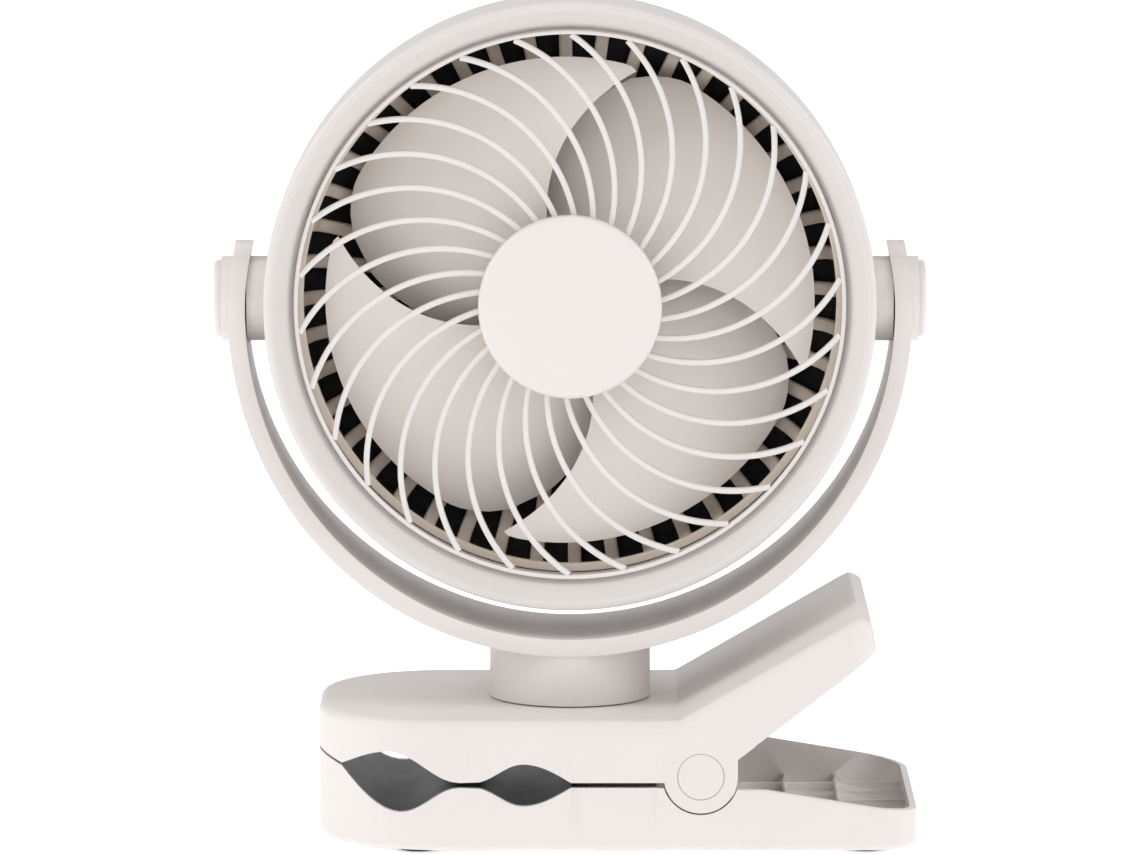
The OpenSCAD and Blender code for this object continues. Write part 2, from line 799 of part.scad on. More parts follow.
module swivel_washer() {
    color("silver")
    difference() {
        post(0, 0, spigot_end_z + 0.05, collar_r - 0.5, swivel_washer_t);
        post(0, 0, 0, spigot_r + 0.1, clip_h);
    }
}

module swivel_retainer() {
    color("dimgray")
    difference() {
        post(0, 0, spigot_end_z - retainer_t, collar_r - 0.5, retainer_t);
        post(0, 0, 0, wireway_r, clip_h);
        for (a = [0, 120, 240])
            rotate([0, 0, a])
                union() {
                    post(swivel_screw_at, 0, 0, small_screw_r + 0.1, clip_h);
                    post(swivel_screw_at, 0, 0, 1.8, spigot_end_z - retainer_t + 0.8);
                }
    }
}

module swivel_screws() {
    color("silver")
    for (a = [0, 120, 240])
        rotate([0, 0, a])
            screw_up(swivel_screw_at, 0, spigot_end_z - retainer_t + 0.05, small_screw_r - 0.02, 1.7, 0.7, 5.5);
}

module pivot_caps() {
    color([0.92, 0.90, 0.88])
    difference() {
        union() {
            pivot_rods(arm_out_x, pivot_cap_r, pivot_cap_h);
            pivot_rods(arm_out_x - 1.2, pivot_cap_r - 2.6, 1.3);
        }
        pivot_rods(arm_out_x - 2, pivot_cap_r - 4, 3);
    }
}

// Head ---------------------------------------------------------------------------------
head_screw_r = (duct_r + head_r) / 2 - 0.3;
boss_screw_l = 9;

module front_ring() {
    color([0.90, 0.885, 0.865])
    difference() {
        union() {
            about_axis()
                polygon([[head_r - 2.5, -front_y], [head_r - 0.9, -front_y + 0.5], [head_r, -front_y + 2],
                    [head_r, seam_y], [head_r - head_wall, seam_y], [head_r - head_wall, -front_y + 3.4],
                    [duct_r + 1.6, -front_y + cone_d + 2], [duct_r + 1.6, seam_y], [duct_r, seam_y],
                    [duct_r, -front_y + cone_d]]);
            around_axis(4, 45)
                translate([head_screw_r, 0, -front_y + 5])
                    cylinder(r = 2.3, h = bezel_d - 5);
        }
        around_axis(4, 45)
            translate([head_screw_r, 0, seam_y - 6])
                cylinder(r = small_screw_r, h = 7);
    }
}

// centre of a rib's arc and the angles at which the arc starts and ends
rib_in_r = hub_r - 3;
rib_c = [rib_in_r - rib_arc_r * sin(rib_lean), rib_arc_r * cos(rib_lean)];
rib_start = rib_lean - 90;
rib_cos = (pow(rib_end_r, 2) - pow(norm(rib_c), 2) - pow(rib_arc_r, 2)) / (2 * rib_arc_r * norm(rib_c));
rib_stop = atan2(rib_c[1], rib_c[0]) - acos(max(-1, min(1, rib_cos)));
rib_steps = 12;
function rib_side(r) = [for (i = [0:rib_steps])
    rib_c + r * [cos(rib_start + (rib_stop - rib_start) * i / rib_steps),
        sin(rib_start + (rib_stop - rib_start) * i / rib_steps)]];

// the front grille's outline, seen from the front
module grille_outline() {
    rim_r = duct_r - fit_gap;
    difference() {
        union() {
            for (i = [0:front_ribs - 1])
                rotate(rib_phase + i * 360 / front_ribs)
                    polygon(concat(rib_side(rib_arc_r + front_rib_w / 2),
                        reversed(rib_side(rib_arc_r - front_rib_w / 2))));
            difference() {
                circle(rim_r, $fn = 96);
                circle(rim_r - rim_w, $fn = 96);
            }
            circle(hub_r - 1);
        }
        // bore for the hub cap's stem
        circle(hub_stem_r + fit_gap);
    }
}

module front_grille() {
    color([0.93, 0.915, 0.895])
    translate([0, grille_y + front_rib_d, head_z])
        rotate([90, 0, 0])
            linear_extrude(front_rib_d)
                grille_outline();
}

module hub_cap() {
    back = grille_y - 0.02;
    color([0.93, 0.915, 0.895])
    about_axis()
        polygon([[0, -front_y + 0.3], [hub_r - 1.2, -front_y + 0.6], [hub_r, -front_y + 1.8], [hub_r, back],
            [hub_stem_r, back], [hub_stem_r, grille_y + front_rib_d], [0, grille_y + front_rib_d]]);
}

module rear_housing() {
    outer_rear_r = head_r - 3;
    color([0.89, 0.87, 0.85])
    difference() {
        union() {
            about_axis()
                polygon([[head_r - head_wall, seam_y + 0.1], [head_r, seam_y + 0.1], [head_r, 8],
                    [outer_rear_r, rear_y - 1.5], [outer_rear_r - 1.5, rear_y], [duct_r + 1.2, rear_y],
                    [duct_r + 1.2, guard_rim_y - fit_gap], [duct_r, guard_rim_y - fit_gap], [duct_r, seam_y + 0.1],
                    [duct_r + 2.6, seam_y + 0.1], [duct_r + 2.6, rear_y - head_wall],
                    [outer_rear_r - head_wall - 0.5, rear_y - head_wall], [head_r - head_wall, 8]]);
            // pivot bosses, trimmed to the duct
            difference() {
                union() {
                    pivot_rods(duct_r + 2, boss_r, boss_x - duct_r - 2);
                    pivot_rods(boss_x - 1, pivot_spigot_r, pivot_pocket_x - boss_x + 1 + 0.15);
                }
                about_axis()
                    translate([0, -front_y])
                        square([duct_r + 2.2, front_y + rear_y]);
            }
            around_axis(4, 45)
                translate([head_screw_r, 0, seam_y + 0.2])
                    cylinder(r = 2.3, h = rear_y - seam_y - 1);
        }
        pivot_rods(boss_x - boss_screw_l, screw_r, 20);
        around_axis(4, 45)
            translate([head_screw_r, 0, seam_y - cut])
                cylinder(r = small_screw_r + 0.2, h = 60);
        around_axis(4, 45)
            translate([head_screw_r, 0, rear_y - 3])
                cylinder(r = 2, h = 10);
    }
}

// outer line (radius, y) of the rear guard's bowl, set out by a distance
function bowl_line(out) = [[bowl_r + out, guard_rim_y], [bowl_r + out, 5.4], [bowl_r - 2.2 + out * 0.8, 11.4 + out * 0.6],
    [bowl_r - 8.5 + out * 0.3, 15.6 + out], [guard_ring_r + 3, guard_y - 0.6 + out], [mount_r, guard_y + out]];

// wall between two distances from the bowl's inside
module bowl_wall(from, to) {
    inner = bowl_line(from);
    polygon(concat(bowl_line(to), [for (i = [5:-1:0]) inner[i]]));
}

// an opening between two ribs, from radius r_a to r_b, where there are n ribs
module guard_slot(n, r_a, r_b) {
    w_a = r_a * tan(180 / n) - rear_rib_w / 2;
    w_b = r_b * tan(180 / n) - rear_rib_w / 2;
    translate([0, 0, guard_rim_y + 2.5])
        linear_extrude(guard_back_y - guard_rim_y)
            polygon([[r_a, -w_a], [r_b, -w_b], [r_b, w_b], [r_a, w_a]]);
}

module rear_guard() {
    color([0.80, 0.76, 0.71])
    difference() {
        about_axis()
            union() {
                bowl_wall(0, bowl_t);
                translate([0, guard_y])
                    square([mount_r + 0.1, rear_rib_d]);
            }
        around_axis(rear_ribs, 1)
            guard_slot(rear_ribs, guard_ring_r + 1.5, duct_r + 1);
        around_axis(rear_ribs / 2, 1)
            guard_slot(rear_ribs / 2, mount_r + 2, guard_ring_r - 1.5);
        rod_y(0, guard_y - cut, head_z, bush_r + 0.6, 10);
        for (s = [-1, 1]) {
            rod_y(s * 8, guard_y - cut, head_z, screw_r + 0.15, 10);
            rod_y(0, guard_y - cut, head_z + s * cap_screw_z, small_screw_r, 10);
        }
        rod_y(-17, guard_y - cut, head_z, 1.8, 10);
    }
}

module dust_screen() {
    color([0.08, 0.08, 0.08])
    about_axis()
        intersection() {
            bowl_wall(bowl_t + 0.15, bowl_t + 0.15 + screen_t);
            translate([mount_r + 0.4, guard_rim_y + 8])
                square([duct_r, 2 * rear_y]);
        }
}

module rear_cap() {
    color([0.89, 0.87, 0.85])
    difference() {
        union() {
            about_axis()
                polygon([[0, guard_back_y + cap_d - 1.8], [0, guard_back_y + cap_d],
                    [mount_r - 6, guard_back_y + cap_d - 0.8], [mount_r - 1.5, guard_back_y + cap_d - 4],
                    [mount_r, guard_back_y + 0.05], [mount_r - 1.8, guard_back_y + 0.05],
                    [mount_r - 3.2, guard_back_y + cap_d - 5], [mount_r - 7, guard_back_y + cap_d - 2.6]]);
            for (s = [-1, 1])
                rod_y(0, guard_back_y + 0.05, head_z + s * cap_screw_z, 2.8, cap_d - 1.5);
        }
        for (s = [-1, 1]) {
            rod_y(0, guard_y, head_z + s * cap_screw_z, small_screw_r + 0.1, 20);
            rod_y(0, guard_back_y + cap_d - 2.6, head_z + s * cap_screw_z, 2.1, 20);
        }
    }
}

module cap_screws() {
    color("silver")
    for (s = [-1, 1])
        screw_y(0, guard_back_y + cap_d - 1.3, head_z + s * cap_screw_z, small_screw_r - 0.02, 1.9, 1.2, cap_d - 0.5);
}

module head_screws() {
    color("silver")
    around_axis(4, 45)
        union() {
            translate([head_screw_r, 0, rear_y - 2.95])
                cylinder(r = 1.9, h = 1.2);
            translate([head_screw_r, 0, seam_y - 5])
                cylinder(r = small_screw_r - 0.02, h = rear_y - seam_y + 2.1);
        }
}

module pivot_washers() {
    color("silver")
    difference() {
        pivot_rods(pivot_pocket_x + 0.2, pivot_cap_r - 3, pivot_washer_t);
        pivot_rods(pivot_pocket_x - 1, screw_r + 0.1, 10);
    }
}

module pivot_screws() {
    color("silver")
    union() {
        pivot_rods(pivot_pocket_x + 0.2 + pivot_washer_t, screw_head_r, 1.4);
        pivot_rods(boss_x - boss_screw_l + 1, screw_r - 0.02, pivot_pocket_x - boss_x + boss_screw_l);
    }
}

// Motor -----------------------------------------------------------------------------------
module motor_can() {
    color("silver")
    difference() {
        rod_y(0, motor_y, head_z, motor_r, motor_l - 1.5);
        rod_y(0, motor_y + can_wall, head_z, motor_r - can_wall, motor_l);
        rod_y(0, motor_y - cut, head_z, bush_r, 5);
    }
}

module motor_magnets() {
    inner = motor_r - can_wall - 2.2;
    color([0.25, 0.25, 0.27])
    difference() {
        rod_y(0, motor_y + 3, head_z, motor_r - can_wall - 0.05, motor_l - 8);
        rod_y(0, motor_y, head_z, inner, motor_l);
        translate([-motor_r, motor_y, head_z - 1.5])
            cube([2 * motor_r, motor_l, 3]);
    }
}

module motor_end_cap() {
    color([0.15, 0.15, 0.16])
    difference() {
        rod_y(0, guard_y - 1.45, head_z, motor_r, 1.4);
        rod_y(0, guard_y - 3, head_z, bush_r, 5);
        for (s = [-1, 1])
            rod_y(s * 8, guard_y - 3, head_z, screw_r, 5);
    }
}

module motor_bushes() {
    color([0.75, 0.6, 0.35])
    for (y = [motor_y, guard_y - bush_l])
        difference() {
            rod_y(0, y, head_z, bush_r - 0.02, bush_l);
            rod_y(0, y - cut, head_z, shaft_r + 0.03, bush_l + 2 * cut);
        }
}

module motor_screws() {
    color("silver")
    for (s = [-1, 1])
        screw_y(s * 8, guard_back_y + 1.2, head_z, screw_r - 0.02, 2.5, 1.2, rear_rib_d + 1.2);
}

module motor_leads() {
    color([0.75, 0.1, 0.1])
    for (s = [-1, 1])
        rod_y(-17, guard_y - 2, head_z + s * 0.8, 0.7, rear_rib_d + 5);
    for (s = [-1, 1])
        color([0.75, 0.1, 0.1])
        translate([-17, guard_y - 1.9 + s * 0.8, head_z])
            rotate([0, 90, 0])
                cylinder(r = 0.7, h = 17 - motor_r - 0.1);
}

// Impeller: turns with the shaft ------------------------------------------------------------
blade_rows = 6;      // steps from root to tip
blade_cols = 10;     // steps across a blade
root_r = cup_r - 1;

// a point of one blade: u from root to tip, v from leading to trailing edge
function blade_at(u, v, side) =
    let (r = root_r + (tip_r - root_r) * u)
    let (turn = blade_span * v - blade_sweep * pow(u, 1.3))
    let (y = blade_y + 1 + blade_t / 2 + (blade_d - blade_t) * v * (0.62 + 0.38 * u) + side * blade_t / 2)
    [r * cos(turn), r * sin(turn), -y];
blade_ring = blade_rows + 1;
blade_points = [for (side = [-1, 1], i = [0:blade_cols], j = [0:blade_rows])
    blade_at(j / blade_rows, i / blade_cols, side)];
blade_layer = (blade_cols + 1) * blade_ring;
// the two triangles of a four-sided face, clockwise seen from outside
function two(a, b, c, d) = [[a, b, c], [a, c, d]];
blade_cells = [for (i = [0:blade_cols - 1], j = [0:blade_rows - 1]) i * blade_ring + j];
blade_faces = [
    for (a = blade_cells) each two(a, a + blade_ring, a + blade_ring + 1, a + 1),
    for (a = blade_cells) let (b = a + blade_layer) each two(b, b + 1, b + blade_ring + 1, b + blade_ring),
    for (i = [0:blade_cols - 1]) let (a = i * blade_ring, b = a + blade_layer)
        each two(a, b, b + blade_ring, a + blade_ring),
    for (i = [0:blade_cols - 1]) let (a = i * blade_ring + blade_rows, b = a + blade_layer)
        each two(a, a + blade_ring, b + blade_ring, b),
    for (j = [0:blade_rows - 1]) let (a = j, b = a + blade_layer)
        each two(a, a + 1, b + 1, b),
    for (j = [0:blade_rows - 1]) let (a = blade_cols * blade_ring + j, b = a + blade_layer)
        each two(a, b, b + 1, a + 1)];

module impeller() {
    cup_wall = 1.8;
    cup_l = blade_d - 4;
    color([0.86, 0.83, 0.80])
    translate([0, 0, head_z])
        rotate([90, 0, 0])
            union() {
                for (i = [0:blades - 1])
                    rotate([0, 0, i * 360 / blades + 18])
                        polyhedron(points = blade_points, faces = blade_faces, convexity = 6);
                difference() {
                    union() {
                        translate([0, 0, -blade_y - cup_l])
                            difference() {
                                cylinder(r = cup_r, h = cup_l);
                                translate([0, 0, -cut])
                                    cylinder(r = cup_r - cup_wall, h = cup_l - cup_wall + cut);
                            }
                        translate([0, 0, -motor_y + 0.5])
                            cylinder(r = 3.2, h = motor_y - blade_y - 0.6);
                    }
                    translate([0, 0, -motor_y - cut])
                        cylinder(r = shaft_r + 0.01, h = motor_y - blade_y - 0.6);
                }
            }
}

module motor_shaft() {
    color("silver")
    rod_y(0, blade_y + 1.8, head_z, shaft_r, guard_back_y - blade_y - 1.8 - 0.5);
}

module motor_armature() {
    slot_w = 1.6;
    rotor_r = motor_r - can_wall - 2.8;
    color([0.72, 0.45, 0.2])
    difference() {
        rod_y(0, motor_y + 4.2, head_z, rotor_r, motor_l - 11);
        rod_y(0, motor_y, head_z, shaft_r, motor_l);
        around_axis(5)
            translate([rotor_r - 2.5, -slot_w / 2, motor_y])
                cube([4, slot_w, motor_l]);
    }
}

module commutator() {
    color([0.8, 0.5, 0.25])
    difference() {
        rod_y(0, guard_y - 6.6, head_z, 2.6, 3.2);
        rod_y(0, motor_y, head_z, shaft_r, motor_l);
    }
}

lower_jaw_shell();
base_plate();
base_screws();
feet();
lower_jaw_pad();
clip_pin();
torsion_spring();
upper_jaw_shell();
upper_jaw_cover();
cover_screws();
upper_jaw_pad();
handle_cover();
handle_screws();
pin_caps();
battery_pack();
control_board();
board_screws();
usb_socket();
indicator_lens();
power_button();
yoke();
swivel_washer();
swivel_retainer();
swivel_screws();
pivot_caps();
front_ring();
front_grille();
hub_cap();
rear_housing();
rear_guard();
dust_screen();
rear_cap();
cap_screws();
head_screws();
pivot_washers();
pivot_screws();
motor_can();
motor_magnets();
motor_end_cap();
motor_bushes();
motor_screws();
motor_leads();
impeller();
motor_shaft();
motor_armature();
commutator();
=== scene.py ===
import json
import math

import bmesh
import bpy
from mathutils import Matrix, Vector


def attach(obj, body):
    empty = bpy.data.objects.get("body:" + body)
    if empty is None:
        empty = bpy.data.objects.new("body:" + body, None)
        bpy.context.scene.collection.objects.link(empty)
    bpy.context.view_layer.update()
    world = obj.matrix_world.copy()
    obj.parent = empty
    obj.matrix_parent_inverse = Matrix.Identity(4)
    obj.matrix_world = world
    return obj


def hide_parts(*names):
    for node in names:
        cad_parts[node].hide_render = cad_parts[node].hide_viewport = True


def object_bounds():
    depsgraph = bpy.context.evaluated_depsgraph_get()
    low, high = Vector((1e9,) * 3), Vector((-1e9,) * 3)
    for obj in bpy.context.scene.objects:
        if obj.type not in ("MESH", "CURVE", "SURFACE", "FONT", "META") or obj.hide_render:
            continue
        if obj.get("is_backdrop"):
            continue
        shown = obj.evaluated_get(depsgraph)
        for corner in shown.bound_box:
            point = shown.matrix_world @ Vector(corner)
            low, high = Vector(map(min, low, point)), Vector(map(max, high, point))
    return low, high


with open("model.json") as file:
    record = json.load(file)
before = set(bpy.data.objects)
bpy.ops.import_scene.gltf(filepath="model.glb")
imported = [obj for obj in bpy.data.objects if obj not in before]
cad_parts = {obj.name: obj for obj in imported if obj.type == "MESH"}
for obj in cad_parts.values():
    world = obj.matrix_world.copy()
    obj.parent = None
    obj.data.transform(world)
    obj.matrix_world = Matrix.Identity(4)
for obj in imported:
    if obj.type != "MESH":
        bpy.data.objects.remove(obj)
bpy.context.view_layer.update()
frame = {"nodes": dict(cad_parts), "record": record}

mm = 0.001
turn = 2 * math.pi
headCentre = Vector((0, 0, 156.8 * mm))
scene = bpy.context.scene
nodeBody = {node: body for body, nodes in frame["record"]["behaviour"]["bodies"].items() for node in nodes}


# a socket of a node tree that can be written in sums
class Wire:
    def __init__(self, kit, socket):
        self.kit, self.socket = kit, socket

    def sum(self, operation, first, second):
        return self.kit.node("ShaderNodeMath", {"operation": operation}, {0: first, 1: second})

    def __add__(self, other): return self.sum("ADD", self, other)
    def __radd__(self, other): return self.sum("ADD", other, self)
    def __sub__(self, other): return self.sum("SUBTRACT", self, other)
    def __rsub__(self, other): return self.sum("SUBTRACT", other, self)
    def __mul__(self, other): return self.sum("MULTIPLY", self, other)
    def __rmul__(self, other): return self.sum("MULTIPLY", other, self)


class NodeKit:
    def __init__(self, tree):
        self.tree = tree

    # kind, settings first, then the sockets' values or links
    def node(self, kind, settings=None, sockets=None, out=0):
        made = self.tree.nodes.new(kind)
        for key, value in (settings or {}).items():
            setattr(made, key, value)
        for key, value in (sockets or {}).items():
            if isinstance(value, Wire):
                self.tree.links.new(value.socket, made.inputs[key])
            else:
                made.inputs[key].default_value = value
        return Wire(self, made.outputs[out]) if len(made.outputs) else made

    def blend(self, mask, first, second):
        return self.node("ShaderNodeMix", {"data_type": "RGBA"}, {0: mask, 6: first, 7: second}, 2)

    def noise(self, where, scale, detail=2.0, rough=0.5):
        return self.node("ShaderNodeTexNoise", {}, {
            "Vector": where, "Scale": scale, "Detail": detail, "Roughness": rough})


# screen colour 0 to 255 as the linear colour a shader takes
def linear(colour):
    shades = [c / 255 / 12.92 if c <= 10 else ((c / 255 + 0.055) / 1.055) ** 2.4 for c in colour]
    return tuple(shades) + (1.0,)


def newMaterial(name):
    material = bpy.data.materials.new(name)
    material.use_nodes = True
    material.node_tree.nodes.clear()
    return material, NodeKit(material.node_tree)


def finishMaterial(kit, sockets, fixed=None):
    shader = kit.node("ShaderNodeBsdfPrincipled", {}, {**(fixed or {}), **sockets})
    kit.node("ShaderNodeOutputMaterial", {"is_active_output": True}, {0: shader})


# moulded plastic: a fine spark-eroded grain, faint clouding and slightly uneven gloss
def plastic(name, colour, shade, rough=0.42, grain=0.10, grainScale=2400.0, coat=0.0):
    material, kit = newMaterial(name)
    where = kit.node("ShaderNodeTexCoord", out=3)
    cloud = kit.noise(where, 24.0, 3.0)
    speck = kit.noise(where, grainScale, 2.0, 0.65)
    bump = kit.node("ShaderNodeBump", {}, {"Height": speck, "Strength": grain, "Distance": 0.00012})
    finishMaterial(kit, {
        "Base Color": kit.blend(cloud, linear(colour), linear(shade)),
        "Roughness": rough - 0.05 + cloud * 0.1 + (speck - 0.5) * 0.08,
        "Normal": bump,
    }, {"IOR": 1.48, "Coat Weight": coat, "Coat Roughness": 0.25})
    return material


# soft rubber with a fine moulded texture and a dusty bloom
def rubber(name, colour, bloom, rough=0.5):
    material, kit = newMaterial(name)
    where = kit.node("ShaderNodeTexCoord", out=3)
    cloud = kit.noise(where, 60.0, 4.0, 0.6)
    speck = kit.noise(where, 3200.0, 2.0, 0.7)
    cells = kit.node("ShaderNodeTexVoronoi", {}, {"Vector": where, "Scale": 1100.0})
    bump = kit.node("ShaderNodeBump", {}, {
        "Height": speck * 0.4 + cells * 0.6, "Strength": 0.10, "Distance": 0.0001})
    finishMaterial(kit, {
        "Base Color": kit.blend(cloud, linear(colour), linear(bloom)),
        "Roughness": rough + (cloud - 0.5) * 0.15,
        "Normal": bump,
    }, {"IOR": 1.5, "Specular IOR Level": 0.28, "Sheen Weight": 0.04, "Sheen Roughness": 0.4})
    return material


# plated or bare metal with fine streaks along one axis
def metal(name, colour, shade, rough=0.3, stretch=(1.0, 12.0, 1.0)):
    material, kit = newMaterial(name)
    where = kit.node("ShaderNodeTexCoord", out=3)
    along = kit.node("ShaderNodeMapping", {}, {"Vector": where, "Scale": stretch})
    streak = kit.noise(along, 900.0, 3.0, 0.6)
    cloud = kit.noise(where, 90.0, 2.0)
    bump = kit.node("ShaderNodeBump", {}, {"Height": streak, "Strength": 0.15, "Distance": 0.00005})
    finishMaterial(kit, {
        "Base Color": kit.blend(cloud, linear(colour), linear(shade)),
        "Roughness": rough - 0.08 + streak * 0.16,
        "Normal": bump,
    }, {"Metallic": 1.0})
    return material


# woven mesh: threads over and under in X and Z
def meshCloth(name, colour, thread, pitch):
    material, kit = newMaterial(name)
    where = kit.node("ShaderNodeTexCoord", out=3)
    parts = kit.node("ShaderNodeSeparateXYZ", {}, {0: where})
    third = Wire(kit, parts.socket.node.outputs[2])
    def wave(value, shift=0.0):
        return kit.node("ShaderNodeMath", {"operation": "SINE"}, {0: value * (turn / pitch) + shift})
    warp, weft = wave(parts), wave(third)
    over = wave(parts, math.pi / 2) * wave(third, math.pi / 2)
    height = warp * warp + weft * weft + over * 0.4
    mask = kit.node("ShaderNodeMapRange", {}, {"Value": height, "From Min": 0.4, "From Max": 1.4})
    bump = kit.node("ShaderNodeBump", {}, {"Height": height, "Strength": 0.6, "Distance": 0.0002})
    finishMaterial(kit, {
        "Base Color": kit.blend(mask, linear(colour), linear(thread)),
        "Roughness": 0.55 + mask * 0.15,
        "Normal": bump,
    }, {"Specular IOR Level": 0.3})
    return material


# circuit board: green lacquer over faint copper tracks
def boardLacquer(name):
    material, kit = newMaterial(name)
    where = kit.node("ShaderNodeTexCoord", out=3)
    cells = kit.node("ShaderNodeTexBrick", {"offset": 0.37}, {
        "Vector": kit.node("ShaderNodeMapping", {}, {"Vector": where, "Rotation": (math.pi / 2, 0, 0)}),
        "Color1": linear((28, 92, 60)), "Color2": linear((36, 108, 70)), "Mortar": linear((70, 140, 84)),
        "Scale": 260.0, "Mortar Size": 0.03})
    speck = kit.noise(where, 1500.0)
    bump = kit.node("ShaderNodeBump", {}, {"Height": speck, "Strength": 0.2, "Distance": 0.0001})
    finishMaterial(kit, {
        "Base Color": cells, "Roughness": 0.3 + speck * 0.1, "Normal": bump}, {"Coat Weight": 0.3})
    return material


def clearPlastic(name):
    material, kit = newMaterial(name)
    where = kit.node("ShaderNodeTexCoord", out=3)
    cloud = kit.noise(where, 900.0)
    finishMaterial(kit, {"Base Color": kit.blend(cloud, (0.72, 0.86, 0.92, 1), (0.82, 0.92, 0.96, 1)),
                         "Roughness": 0.08 + cloud * 0.06}, {"Transmission Weight": 0.6, "IOR": 1.49})
    return material


finish = {
    "body_plastic": plastic("bodyPlastic", (219, 213, 211), (214, 208, 205)),
    "cover_plastic": plastic("coverPlastic", (209, 203, 200), (203, 197, 193), rough=0.5),
    "head_plastic": plastic("headPlastic", (213, 208, 206), (208, 203, 200), rough=0.40),
    "grille_plastic": plastic("grillePlastic", (221, 216, 213), (216, 211, 208), rough=0.38),
    # rear guard: a lit and shaded copy of the cream plastic; the beige tint is painted shade, the extra
    # lightness painted light
    "guard_plastic": plastic("guardShadeTintedPlastic", (240, 228, 215), (232, 219, 205), rough=0.46),
    # blades: lighter than the body plastic, painted light against the shade inside the duct
    "blade_plastic": plastic("bladeLitPlastic", (238, 231, 226), (232, 225, 219), rough=0.36, grain=0.05),
    "pad_rubber": rubber("padRubber", (8, 8, 9), (15, 15, 16), rough=0.36),
    # near-black screen colours: painted shade for the dark gaps behind the rear guard
    "screen_mesh": meshCloth("shadeScreenWeave", (12, 12, 13), (30, 30, 32), 0.8 * mm),
    "screw_steel": metal("screwSteel", (178, 178, 182), (150, 150, 156), 0.34),
    "spring_steel": metal("springSteel", (150, 150, 154), (118, 118, 124), 0.30),
    "motor_steel": metal("motorSteel", (170, 170, 172), (140, 140, 144), 0.28),
    "motor_plastic": plastic("motorPlastic", (42, 42, 44), (34, 34, 36), rough=0.45),
    "magnet": metal("magnetFerrite", (62, 60, 60), (48, 47, 48), 0.55),
    "bronze": metal("bronzeBush", (176, 128, 76), (150, 106, 62), 0.4),
    "copper": metal("copperWinding", (190, 108, 66), (160, 84, 50), 0.35, (1.0, 1.0, 14.0)),
    "battery_wrap": plastic("batteryWrap", (46, 110, 150), (40, 98, 136), rough=0.35),
    "board_green": boardLacquer("boardGreen"),
    "lens_clear": clearPlastic("lensClear"),
    "wire_red": plastic("wireRed", (170, 36, 32), (150, 28, 26), rough=0.45),
}
print("materials:", len(finish))


def place(name, mesh, body, slot, stands, sharp=32):
    piece = bpy.data.objects.new(name, mesh)
    scene.collection.objects.link(piece)
    mesh.materials.clear()
    mesh.materials.append(finish[slot])
    for face in mesh.polygons:
        face.material_index = 0
    if sharp:
        mesh.shade_smooth()
        mesh.set_sharp_from_angle(angle=math.radians(sharp))
    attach(piece, body)
    if stands:
        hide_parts(*stands)
    return piece


def toMesh(bm, name, recalc=True):
    bmesh.ops.remove_doubles(bm, verts=bm.verts, dist=1e-6)
    if recalc:
        bmesh.ops.recalc_face_normals(bm, faces=bm.faces)
    mesh = bpy.data.meshes.new(name)
    bm.to_mesh(mesh)
    bm.free()
    return mesh


def evaluated(piece):
    graph = bpy.context.evaluated_depsgraph_get()
    mesh = bpy.data.meshes.new_from_object(piece.evaluated_get(graph))
    bpy.data.objects.remove(piece)
    return mesh


# shading normals weighted by face area, so flat walls stay flat beside their rounded edges
def evenNormals(mesh, name, sharp):
    mesh.shade_smooth()
    mesh.set_sharp_from_angle(angle=math.radians(sharp))
    shape = bpy.data.objects.new(name, mesh)
    scene.collection.objects.link(shape)
    weighted = shape.modifiers.new("normals", "WEIGHTED_NORMAL")
    weighted.keep_sharp, weighted.weight = True, 100
    return evaluated(shape)


# a CAD shape with its edges rounded
def softened(node, name, slot, width, steps=3, angle=32):
    mesh = frame["nodes"][node].data.copy()
    bm = bmesh.new()
    bm.from_mesh(mesh)
    bmesh.ops.remove_doubles(bm, verts=bm.verts, dist=0.02 * mm)
    bmesh.ops.dissolve_degenerate(bm, dist=0.01 * mm, edges=bm.edges)
    bmesh.ops.dissolve_limit(bm, angle_limit=math.radians(1), verts=bm.verts, edges=bm.edges)
    bm.to_mesh(mesh)
    bm.free()
    rough = bpy.data.objects.new(name, mesh)
    scene.collection.objects.link(rough)
    bevel = rough.modifiers.new("edges", "BEVEL")
    bevel.width, bevel.segments = width * mm, steps
    bevel.limit_method, bevel.angle_limit = "ANGLE", math.radians(angle)
    bevel.harden_normals = True
    bevel.miter_outer = "MITER_ARC"
    mesh.shade_smooth()
    return place(name, evaluated(rough), nodeBody[node], slot, [node], sharp=0)


# corners (a, b, radius) of an outline turned into short arcs
def filleted(corners, closed=True, steps=6):
    points = []
    last = len(corners) - 1
    for i, corner in enumerate(corners):
        here, radius = Vector(corner[:2]), corner[2] if len(corner) > 2 else 0
        if not radius or (not closed and i in (0, last)):
            points.append(here)
            continue
        before = (Vector(corners[i - 1][:2]) - here).normalized()
        after = (Vector(corners[(i + 1) % len(corners)][:2]) - here).normalized()
        half = math.acos(max(-1, min(1, before.dot(after)))) / 2
        reach = radius / math.tan(half)
        centre = here + (before + after).normalized() * radius / math.sin(half)
        start, end = here + before * reach - centre, here + after * reach - centre
        sweep = start.angle_signed(end)
        for k in range(steps + 1):
            points.append(centre + Matrix.Rotation(-sweep * k / steps, 2) @ start)
    return points


# an outline (radius, height) turned about an axis
def lathed(bm, outline, centre, axis="y", steps=160, closed=True, phase=0.0):
    rings = []
    for radius, along in outline:
        ring = []
        for k in range(steps):
            a = turn * k / steps + phase
            u, v = radius * math.cos(a), radius * math.sin(a)
            spot = {"y": (u, along, v), "z": (u, v, along), "x": (along, u, v)}[axis]
            ring.append(bm.verts.new(Vector(spot) * mm + centre))
        rings.append(ring)
    pairs = list(zip(rings, rings[1:])) + ([(rings[-1], rings[0])] if closed else [])
    for low, high in pairs:
        for k in range(steps):
            bm.faces.new((low[k], low[(k + 1) % steps], high[(k + 1) % steps], high[k]))


def lathedPiece(name, body, slot, stands, parts):
    bm = bmesh.new()
    for part in parts:
        lathed(bm, **part)
    bmesh.ops.dissolve_degenerate(bm, dist=1e-6, edges=bm.edges)
    return place(name, toMesh(bm, name), body, slot, stands)


